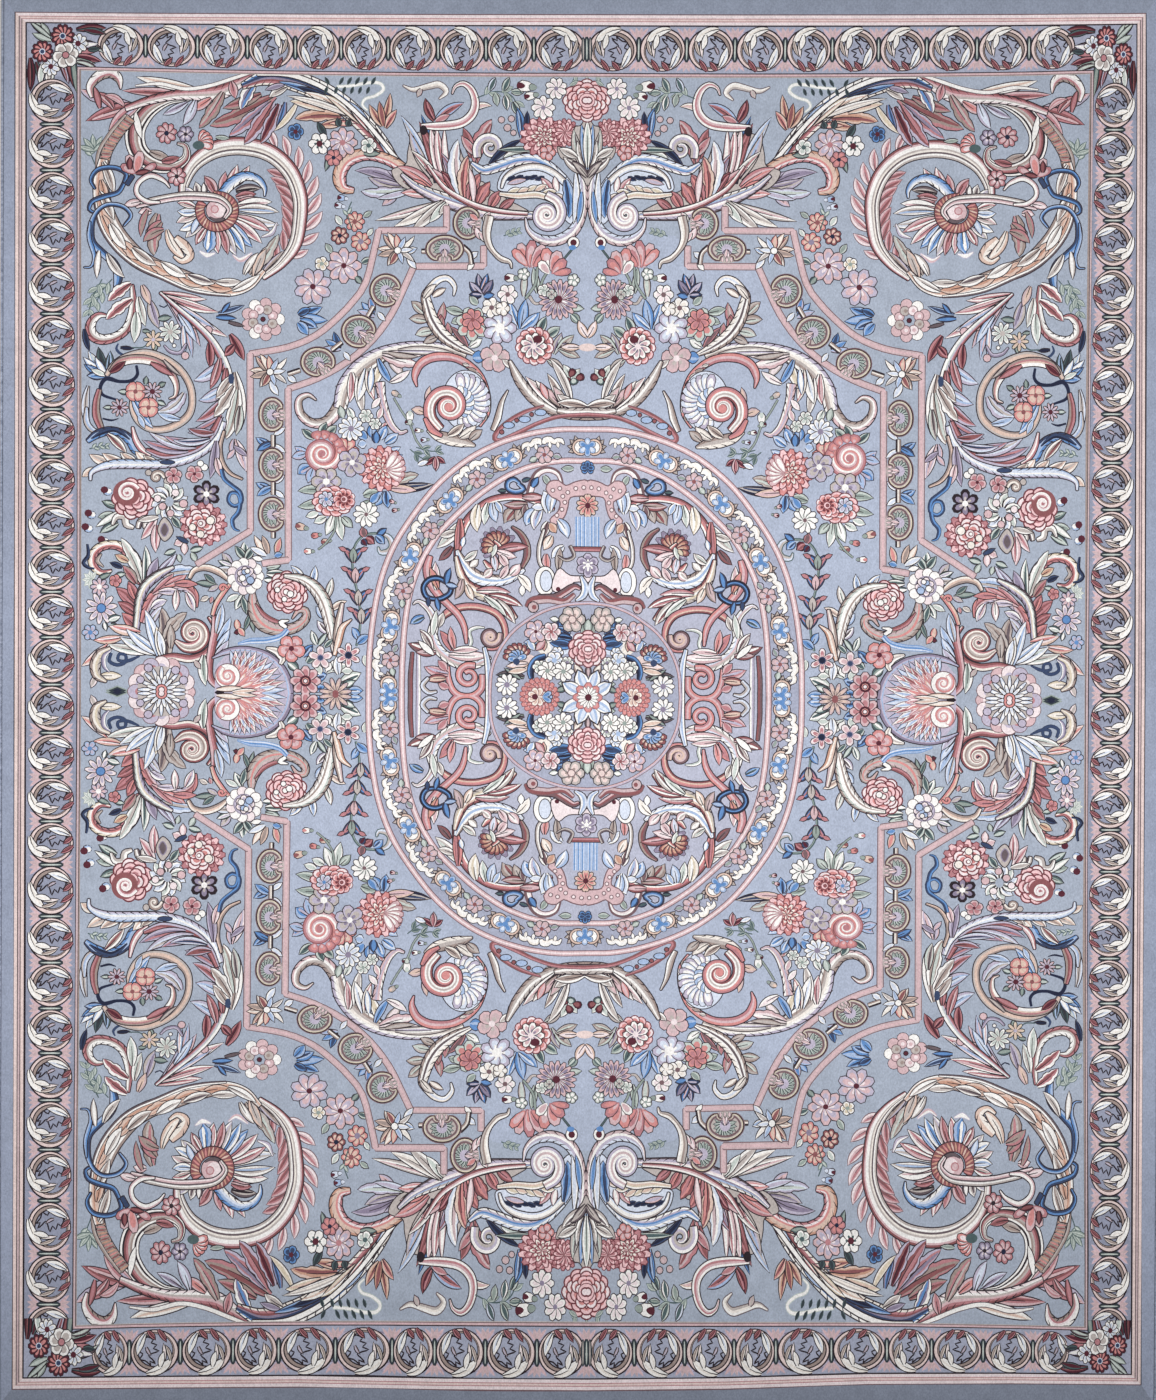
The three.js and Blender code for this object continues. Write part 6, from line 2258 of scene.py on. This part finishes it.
# The medallion: a ring of blue rosettes between two lines of pink wool, and inside it scrolls, a ribbed
# vase and the round bouquet at the centre of the rug.
def medallion_band():
    """The two pink lines and the rosettes, shells and cream scrolls between them."""
    outer = [(0, 269), (26, 269), (50, 266), (70, 261), (90, 254), (112, 243), (133, 228), (153, 209),
             (174, 182), (193, 152), (206, 120), (214, 85), (219, 42), (220, 0)]
    inner = [(0, 237), (26, 237), (50, 233), (68, 227), (86, 218), (110, 201), (131, 182), (150, 162),
             (166, 136), (177, 108), (183, 76), (186, 38), (187, 0)]
    area(np.concatenate([smooth(outer, 8), [(0, 0)]]), "border")
    area(np.concatenate([smooth(inner, 8), [(0, 0)]]), "middle")
    for line in (outer, inner):
        stem(line, [4.6, 4.6], "pink blush pink", edge=0.9, step=8, line_yarn="clove")
    # rosette: u, v, the way it faces
    for u, v, facing in ((0, 251, 90), (80, 238, 118), (138, 196, 133), (178, 139, 150), (198, 70, 168),
                         (200, 4, 180)):
        out = heading(facing)
        side = np.array([-out[1], out[0]])
        at = np.array([u, v])
        for angle in (-125, -95, -62, -32, 32, 62, 95, 125):
            foot = at + heading(facing + 90 * np.sign(angle)) * 8
            leaf(*foot, facing + angle, 12, 5, "taupe stone umber", bend=-20 * np.sign(angle),
                 line_yarn="umber")
        for shift in (-1, 1):
            lobe = at + side * shift * 7.2
            area(oval(*lobe, 9.0), "outline")
            area(oval(*lobe, 8.1), "peach")
            area(oval(*lobe, 6.4), "outline")
            area(oval(*lobe, 5.7), "ivory")
        for turn in (0, 60, 120, 180, 240, 300):
            petal(*at, facing + turn, 9.5, 6, ("sky ice", "sky blue")[turn % 120 // 60], edge=0.5)
        area(oval(*at, 3), "blue")
    # cream scroll with a pink shell: u, v, direction along the band
    for u, v, facing in ((44, 247, 8), (113, 221, 32), (161, 168, 52), (189, 106, 70), (202, 36, 84)):
        at = np.array([u, v])
        out = heading(facing)
        up = heading(facing + 90)
        bloom(*(at - up * 4), 9, 6, "dusk pink lilac", eye="brick", turn=facing)
        drawn(leaf,
              (*(at - out * 8 - up * 6), facing + 200, 8, 6, "sage mint"),
              (*(at + out * 9 - up * 6), facing - 20, 8, 6, "lilac sage"))
        for shift in (-1, 1):
            path = [at + out * a * shift + up * b for a, b in
                    ((1, 7), (3, 10.5), (8, 10.5), (12, 7.5), (15, 8.5), (19, 8), (21, 4))]
            stem(path, [3, 6, 6, 4, 5, 4, 1], "ivory ivory cream", edge=0.9)
            drawn(leaf,
                  (*(at + out * 7 * shift + up * 8), facing - 90, 6, 3.4, "ivory"),
                  (*(at + out * 15 * shift + up * 7), facing - 90, 6, 3.4, "ivory cream"), edge=0.7)


medallion_band()


def medallion_scrolls():
    """The two great scrolls of the medallion and the navy knot that ties them."""
    stem([(176, 44), (178, 20), (178, 0)], [3, 4, 4], "brick clove", edge=0.8)
    stem([(170, 44), (170, 20), (170, 0)], [3, 4, 4], "ivory lilac", edge=0.6)
    # upper scroll
    stem([(132, 135), (128, 160), (118, 180), (100, 195), (80, 200), (62, 199), (46, 193), (34, 188)],
         [4, 8, 7, 6, 6, 6, 5, 3], "brick rose coral ivory")
    drawn(blade,
          (125, 176, 151, 148, 11, "ivory stone mint", -16), (132, 165, 148, 160, 7, "ivory stone", -10),
          (128, 178, 131, 140, 9, "coral brick rose", -10), (136, 150, 149, 136, 7, "brick clove", -20),
          (110, 192, 111, 165, 11, "cream straw ivory", 30), (100, 194, 104, 172, 8, "ivory mint", 10),
          (96, 194, 92, 175, 9, "sky ice", 16), (92, 195, 86, 184, 6, "ivory sky"),
          (68, 192, 84, 174, 12, "taupe stone brick", 30), (64, 192, 72, 176, 9, "taupe stone", 20),
          (60, 193, 84, 192, 8, "brick dusk taupe", -16), (62, 192, 64, 180, 7, "stone clove"),
          (52, 188, 62, 172, 12, "sky ice blue", 34), (46, 190, 54, 168, 10, "ivory lilac sky", 40),
          (44, 190, 56, 190, 7, "ivory ice", 10))
    # the wheel with the lilac and orange flower
    stem([(66, 130), (61, 142), (62, 154), (68, 164), (76, 170)], [3, 6, 6, 5, 2], "clove brick taupe")
    bloom(90, 152, 19, 13, "mauve lilac", eye="lilac", eye_share=0.3, edge=0.5)
    for turn in (40, 62, 84, 106, 128, 150, 172, 196):
        out = heading(turn)
        petal(91 + out[0] * 3, 150 + out[1] * 3, turn, 13, 6, "brick orange peach")
    stem([(104, 136), (98, 130), (90, 132), (86, 140), (88, 150), (94, 156)], [2, 6, 7, 6, 4, 2],
         "brick coral cream")
    drawn(blade,
          (90, 147, 60, 151, 9, "brick rose pink", -14), (92, 146, 72, 140, 8, "pink blush", 10),
          (88, 142, 80, 130, 8, "blush pink"), (95, 142, 92, 126, 7, "pink ice"),
          (92, 152, 96, 140, 5, "ivory mint"), (96, 150, 100, 144, 4, "straw"))
    # lower scroll of the wheel
    stem([(131, 146), (126, 134), (116, 122), (102, 117), (86, 117), (72, 122), (64, 128)],
         [3, 11, 13, 12, 10, 8, 3], "taupe ivory sky ivory ice")
    drawn(blade,
          (124, 136, 111, 146, 7, "ivory stone mint", 20), (118, 130, 110, 137, 7, "stone ivory", 10),
          (104, 120, 96, 128, 8, "pink ivory stone", 14), (88, 119, 80, 132, 7, "blush pink", 14),
          (78, 122, 68, 133, 9, "pink blush ivory", 10), (70, 122, 58, 106, 9, "ivory cream", -44),
          (66, 112, 66, 102, 6, "ivory"), (126, 150, 124, 160, 5, "sky ivory"))
    stem([(132, 140), (128, 124), (121, 112), (108, 104), (94, 98), (82, 90), (72, 80)],
         [3, 7, 9, 12, 11, 9, 3], "brick peach ivory straw stone")
    drawn(blade,
          (112, 106, 78, 105, 8, "rose dusk ivory", -16), (100, 102, 66, 92, 9, "brick ivory rose", -20),
          (92, 98, 73, 75, 9, "stone ivory brick", -10), (104, 101, 82, 82, 7, "ivory mint", -14),
          (126, 118, 133, 98, 8, "taupe dusk", -30), (122, 112, 115, 97, 7, "peach cream", 10))
    # the lower scroll with its small volute
    stem([(150, 74), (141, 84), (126, 90), (108, 90), (92, 84), (84, 72), (84, 58), (92, 50), (104, 49)],
         [3, 7, 6, 6, 6, 6, 5, 4, 3], "rose coral peach brick")
    stem(coil(98, 61, 11, 2, 20, -2.0), [5, 6, 6, 5, 3], "clove dusk peach")
    stem([(120, 48), (117, 56), (119, 66), (112, 70), (104, 70)], [2, 3, 3, 3, 1], "ivory mint", edge=0.7)
    stem([(98, 40), (112, 33), (128, 33), (142, 40), (152, 50), (156, 62), (154, 76), (160, 88), (170, 95),
          (175, 92)], [3, 8, 10, 10, 9, 10, 9, 6, 5, 1], "ivory stone pink ice ivory")
    drawn(blade,
          (140, 42, 100, 42, 10, "pink ivory blush", 10), (136, 46, 110, 48, 7, "ivory pink", -10),
          (136, 46, 148, 66, 8, "coral rose", 20), (134, 48, 138, 70, 7, "pink coral", -10),
          (150, 70, 145, 84, 7, "ivory stone"), (156, 62, 152, 86, 6, "ivory mint"),
          (154, 46, 180, 53, 10, "clove brick ivory", -20), (156, 48, 168, 67, 8, "ivory clove stone", 16),
          (152, 44, 172, 44, 8, "brick dusk"), (155, 42, 170, 56, 6, "ivory"),
          (164, 80, 178, 73, 7, "blue sky fir", 16))
    # the navy knot and its rose ribbon
    stem([(158, 140), (161, 128), (158, 114), (150, 102), (140, 92), (130, 82), (124, 70), (122, 54)],
         [5, 8, 8, 7, 6, 6, 5, 2], "coral pink rose")
    drawn(blade, (152, 106, 153, 134, 8, "ivory pink"), (150, 108, 158, 128, 7, "orange coral"))
    stem([(157, 97), (147, 98), (138, 104), (139, 112), (150, 118), (160, 116), (165, 108), (161, 99),
          (150, 97)], [2, 4, 4, 4, 4, 4, 4, 4, 2], "navy blue ink")
    drawn(blade,
          (142, 112, 138, 128, 6, "navy blue", -20), (142, 112, 131, 110, 6, "navy sky", 16),
          (152, 98, 149, 86, 5, "navy blue"), (160, 99, 160, 90, 4, "navy"))
    # scrolls at the side line
    stem(coil(120, 20, 13, 5, 60, 1.2), [6, 6, 5, 4], "rose pink coral")
    stem([(106, 22), (107, 8), (116, 0), (128, 0), (136, 6), (140, 18), (140, 30)], [6, 6, 6, 6, 6, 5, 2],
         "rose pink coral")
    drawn(blade,
          (140, 22, 164, 29, 10, "pink rose lilac", -20), (142, 26, 150, 36, 8, "pink rose", 10),
          (142, 18, 162, 16, 8, "brick peach", 10), (140, 8, 150, 12, 8, "pink rose"))
    stem([(160, 18), (166, 10), (160, 3), (152, 4)], [3, 4, 4, 2], "stone ice")
    stem([(104, 50), (101, 36), (100, 20), (100, 0)], [3, 5, 5, 5], "ice sky ivory")


medallion_scrolls()


def vase():
    """The ribbed vase on the long centre line, its beaded collar and its foot."""
    stem([(60, 196), (56, 212), (50, 224), (40, 228), (30, 224), (26, 214)], [4, 6, 6, 5, 4, 2],
         "clove ivory blush", line_yarn="clove")
    drawn(blade,
          (56, 210, 50, 220, 7, "navy blue"), (66, 200, 44, 200, 8, "brick pink"),
          (40, 184, 44, 206, 12, "ivory ice", 30), (38, 186, 32, 210, 10, "sky ice ivory", -30),
          (44, 222, 38, 212, 6, "mint sage"), (14, 229, 26, 229, 6, "mint sage"))
    stem([(70, 214), (64, 208), (72, 205), (80, 208), (80, 215), (74, 218), (68, 214)],
         [3, 4, 4, 4, 4, 4, 2], "navy blue sky")
    drawn(leaf, (82, 206, 180, 8, 4, "ink fir"), (66, 216, 20, 9, 4, "navy fir"))
    for turn in (45, 135, 225, 315, 0, 90, 180):
        petal(0, 230, turn, 7, 5, "blue navy")
    collar = [(0, 217), (12, 216), (22, 212), (29, 217), (38, 216), (42, 208), (36, 200), (28, 196),
              (30, 186), (38, 178), (34, 172), (24, 180), (20, 190), (17, 200), (0, 203)]
    patch(collar, "pink", line_yarn="clove", edge=1.3, step=5)
    beads = [(4, 210), (12, 209), (20, 205), (28, 209), (35, 207), (25, 201), (23, 195), (26, 188),
             (31, 182)]
    for u, v in beads:
        area(oval(u, v, 2.6), "clove")
        area(oval(u, v, 1.6), "blush")
    bloom(0, 192, 11.5, 11, "peach coral", eye="wine", eye_share=0.26)
    for k in range(7):
        stem([(2 * k, 181), (2 * k, 151)], [2, 2], ("blue sky", "sky ice")[k % 2], edge=0)
    stem([(15, 149), (0, 149)], [4, 4], "brick rose", edge=0.8)
    drawn(blade,
          (30, 178, 20, 160, 10, "sky ice ivory", -40), (24, 152, 36, 140, 8, "ivory ice", 20),
          (40, 176, 44, 160, 8, "ivory clove", 20), (38, 174, 32, 165, 8, "peach orange"),
          (36, 162, 44, 148, 9, "peach cream"), (42, 144, 40, 126, 8, "pink coral", 20),
          (30, 128, 28, 150, 7, "stone taupe"))
    stem([(44, 168), (49, 150), (48, 134), (40, 126)], [2, 3, 3, 2], "ivory stone")
    stem([(18, 152), (14, 142), (22, 138), (30, 142)], [3, 3, 3, 1], "stone soft", edge=0.7)
    area(oval(43, 117, 11, 15), "outline")
    area(oval(43, 117, 10, 14), "ivory")
    area(oval(42, 117, 6.6, 11), "umber")
    area(oval(42, 117, 5.8, 10), "ice")
    patch([(0, 122), (18, 123), (28, 130), (34, 122), (36, 108), (24, 106), (14, 116), (0, 116)], "blush",
          line_yarn="outline", step=5)
    bloom(0, 133, 12, 6, "lilac mauve ivory", eye="ivory", eye_share=0.2, turn=30)
    area(oval(30, 109, 2.4), "wine")
    stem([(7, 122), (3, 112), (5, 103), (12, 98)], [2, 6, 6, 2], "ice sky ivory")
    stem([(50, 101), (34, 101), (24, 106), (14, 112), (8, 110)], [4, 6, 6, 6, 3], "clove brick pink")
    stem([(60, 91), (56, 97), (40, 99), (24, 97), (14, 104)], [6, 7, 6, 5, 3], "brick dusk",
         line_yarn="clove")
    area(oval(55, 91, 6), "outline")
    area(oval(55, 91, 5), "dusk")
    area(oval(54, 91, 2.4), "brick")


vase()


def bouquet():
    """The round bouquet at the centre of the rug."""
    rim_line = [(0, 96), (22, 94), (45, 87), (64, 76), (78, 64), (90, 46), (97, 26), (99, 0)]
    area(np.concatenate([smooth(rim_line, 8), [(0, 0)]]), "border")
    stem(rim_line, [2.4, 2.4], "pink lilac", edge=0.7, step=8, line_yarn="clove")
    area(oval(61, 35, 10, 9), "shell")
    area(oval(44, 53, 8, 9), "cream")
    area(oval(26, 56, 13, 12), "ice")
    drawn(blade,
          (28, 68, 26, 84, 8, "navy blue"), (18, 64, 32, 71, 8, "sky blue navy"),
          (16, 60, 35, 62, 10, "navy blue ink"), (16, 53, 38, 56, 10, "blue navy"),
          (6, 66, 4, 84, 5, "mint sage"), (2, 68, 0, 80, 6, "sage mint"),
          (64, 20, 92, 22, 8, "soft pine sage", 24), (68, 18, 84, 29, 5, "pine sage"),
          (46, 60, 44, 48, 7, "peach coral"), (44, 58, 52, 48, 7, "rose pink"),
          (52, 56, 64, 56, 7, "blue ice"), (54, 62, 62, 68, 7, "ivory ice"),
          (60, 58, 54, 48, 7, "ivory sky"), (60, 34, 82, 31, 7, "peach blush"),
          (62, 28, 80, 25, 6, "cream peach"), (30, 79, 38, 80, 5, "mint ivory"),
          (22, 10, 32, 6, 6, "fir sage"), (22, 14, 30, 14, 5, "sage mint"),
          (6, 22, 14, 34, 7, "taupe cream"), (0, 22, 0, 33, 6, "soft dusk"))
    stem([(43, 42), (51, 39), (56, 33), (58, 26), (57, 19)], [5, 6, 6.5, 6, 4], "ink navy blue", edge=0.9)
    drawn(bloom,
          (52.5, 67, 11.5, 6, "pink lilac blush", "wine", 0.16, 12),
          (37, 67, 9.5, 6, "blush pink rose", "brick", 0.2),
          (16, 79.5, 13, 6, "stone shell taupe", "shell", 0.26, 0, 0.94, 0.9, 1, "clove"),
          (31, 46, 6, 6, "ivory ice", "sky", 0.3), (34, 38, 9, 6, "ivory ice", "sky", 0.3),
          (49, 31, 7, 6, "ivory mint", "sage", 0.3), (21, 36, 6, 6, "ivory mint", "mauve", 0.3),
          (41, 27, 10, 8, "ivory ivory stone", "sage", 0.24, 20, 0.84),
          (25, 26.5, 10.5, 8, "ivory ivory stone", "sage", 0.24, 0, 0.84),
          (81.5, 12, 11.5, 10, "ivory ivory ice", "mauve", 0.26, 0, 0.84))
    for turn in (30, 55, 80, 105, 130, 155, 180):
        petal(71, 41, turn, 14.5, 6.4, "brick peach clove")
    for turn in (60, 90, 120, 150, 20, 185):
        petal(71, 39, turn, 9.5, 5.6, "sky blue ice")
    area(oval(72, 36, 3.6), "navy")
    rose(0, 50, 20.5, "garnet rose flush", rows=3, count=10, squash=0.93)
    # the two fringed flowers beside the star
    for reach, first, width, yarns in ((20, 9, 6.6, "coral pink"), (15, 0, 5.2, "coral pink blush")):
        for turn in range(0, 360, 18):
            petal(49, 0, turn + first, reach, width, yarns, line_yarn="brick")
    area(oval(50, 0, 10), "brick")
    for turn in range(0, 360, 45):
        petal(51, 0, turn + 22.5, 10, 6, "cream peach", line_yarn="brick")
    area(oval(53.5, 0, 3.2), "wine")
    for turn in (-30, 0, 30):
        petal(46, 0, turn, 10, 5, "sky blue")
    # the star: eight pointed petals, then short pink ones, round a white eye
    for turn in (29, 69, 111, 151, 209, 249, 291, 331):
        for length, width, yarns in ((31.5, 15.5, "outline"), (29.5, 13.5, "ivory sky ice")):
            leaf(0, 0, turn, length, width, yarns, edge=0, shape=(0.5, 0.5, 0.8, 1, 0.8, 0))
    for turn in range(0, 360, 45):
        petal(0, 0, turn, 15.5, 8, "coral pink", line_yarn="brick")
    bloom(0, 0, 11.5, 16, "ivory", eye="wine", eye_share=0.33, edge=0.45)


bouquet()


# The field is knotted in four parts that meet under the frame's outer ribbon, along the medallion and
# across the side field.
FRAME_JOIN = [(104, 455), (141, 468), (209, 468), (213, 450), (222, 416), (234, 398), (250, 381),
              (272, 363), (300, 351), (338, 344)]
SIDE_JOIN = [(338, 344), (338, 300), (338, 250), (338, 200), (338, 163), (300, 130), (262, 88),
             (240, 48), (236, 0)]
MEDALLION_JOIN = [(0, 271), (26, 271), (50, 268), (70, 263), (90, 256), (112, 245), (134, 230), (154, 211),
                  (175, 184), (194, 154), (207, 122), (216, 86), (221, 42), (222, 0)]
HEAD_FOOT = 436.0
JOIN_STEP = 6.0


def close_points(line):
    """A line with points added, so that it follows the creep."""
    parts = []
    for a, b in zip(line, line[1:]):
        parts.append(straight(a, b, max(1, math.ceil(math.dist(a, b) / JOIN_STEP)))[:-1])
    return np.concatenate(parts + [np.array(line[-1:], float)])


def field_parts():
    top = bowed(straight((FIELD_U, FIELD_V), (0, FIELD_V), END_STEPS // 2))
    up_side = bowed(straight((FIELD_U, 0), (FIELD_U, FIELD_V), RIM_STEPS // 2))
    cut = [tuple(up_side[np.argmin(np.abs(up_side[:, 1] - HEAD_FOOT))]), (217, HEAD_FOOT)]
    cut_height = cut[0][1]
    # the frame's outer ribbon: over the head field as far as the cut, and on down the side field
    head_frame = [(0, 455)] + FRAME_JOIN[:4] + [cut[1]]
    side_frame = FRAME_JOIN[4:] + SIDE_JOIN[1:]
    head = np.concatenate([up_side[up_side[:, 1] > cut_height], top[1:], close_points(head_frame),
                           close_points(cut[::-1])])
    side = np.concatenate([up_side[up_side[:, 1] < cut_height], close_points(cut)[:-1],
                           close_points([cut[1]] + side_frame)])
    inner = np.concatenate([close_points(head_frame + side_frame),
                            close_points([(236, 0), MEDALLION_JOIN[-1]])[1:],
                            close_points(MEDALLION_JOIN[::-1])[1:],
                            close_points([(0, 271), (0, 455)])[1:-1]])
    medallion = np.concatenate([close_points(MEDALLION_JOIN),
                                close_points([(222, 0), (0, 0), (0, 271)])[1:-1]])
    for name, edge in (("pile_head_field", head), ("pile_side_field", side), ("pile_inner_field", inner),
                       ("pile_medallion", medallion)):
        knot_pile(name, edge, "field", keep_drawing=True)
    drawing.clear()


field_parts()


# The side cords: the outermost warps of each long side, overcast by hand with thick blue-grey wool. The
# wraps lie close together and lean a little; under the rug the cord is pressed flat.
CORD_HEIGHT = 0.0066
CORD_SIDES = 12
WRAPS = 940
WRAP_LEAN = 0.3
GROOVE = 0.86
GROOVE_LIFT = 0.0004
CORD_TIP = 0.5


def overcast_wool():
    """Thick plied wool, uneven from wrap to wrap, with short fibres standing off it."""
    material, nodes, links, shader = new_material("overcast_wool")
    place = nodes.new("ShaderNodeTexCoord")
    stretch = nodes.new("ShaderNodeMapping")
    stretch.inputs["Scale"].default_value = (40, 160, 40)
    links.new(place.outputs["Object"], stretch.inputs["Vector"])
    uneven = nodes.new("ShaderNodeTexNoise")
    uneven.inputs["Scale"].default_value = 1.0
    uneven.inputs["Detail"].default_value = 3.0
    links.new(stretch.outputs["Vector"], uneven.inputs["Vector"])
    ramp = nodes.new("ShaderNodeValToRGB")
    ramp.color_ramp.elements[0].position = 0.3
    ramp.color_ramp.elements[0].color = (0.216, 0.246, 0.332, 1)
    ramp.color_ramp.elements[1].position = 0.7
    ramp.color_ramp.elements[1].color = (0.445, 0.485, 0.597, 1)
    links.new(uneven.outputs["Fac"], ramp.inputs["Fac"])
    links.new(ramp.outputs["Color"], shader.inputs["Base Color"])
    fibres = nodes.new("ShaderNodeTexNoise")
    fibres.inputs["Scale"].default_value = 1400.0
    links.new(place.outputs["Object"], fibres.inputs["Vector"])
    bump = nodes.new("ShaderNodeBump")
    bump.inputs["Strength"].default_value = 0.5
    bump.inputs["Distance"].default_value = 0.0004
    links.new(fibres.outputs["Fac"], bump.inputs["Height"])
    links.new(bump.outputs["Normal"], shader.inputs["Normal"])
    return material


def side_cord(side, material):
    """One cord, as rings along the rug's edge: a groove and a ridge for every wrap."""
    turn = np.arange(CORD_SIDES) / CORD_SIDES * math.tau
    reach = HALF_LENGTH - CORD_WIDTH * 0.25
    rings = []
    for k, y in enumerate(np.linspace(-reach, reach, 2 * WRAPS + 1)):
        size = 1.0 if k % 2 else GROOVE
        if k in (0, 2 * WRAPS):
            size = CORD_TIP
        across = np.sin(turn) * CORD_WIDTH / 2 * size
        height = CORD_HEIGHT / 2 * (1 + np.cos(turn) * size)
        along = np.clip(y + across * WRAP_LEAN, -HALF_LENGTH, HALF_LENGTH)
        height = np.maximum(height, GROOVE_LIFT * (size < 1))
        middle = side_x(side, along, CORD_WIDTH / 2)
        rings.append(np.column_stack([middle + across, along, height]))
    points, faces = stack(rings)
    name = "side_cord_left" if side < 0 else "side_cord_right"
    cord = add_piece(name.replace("side_cord", "overcast_cord"), points, faces, material)
    cord.data.polygons.foreach_set("use_smooth", [True] * len(faces))
    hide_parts(name)


cord_material = overcast_wool()
side_cord(-1, cord_material)
side_cord(1, cord_material)
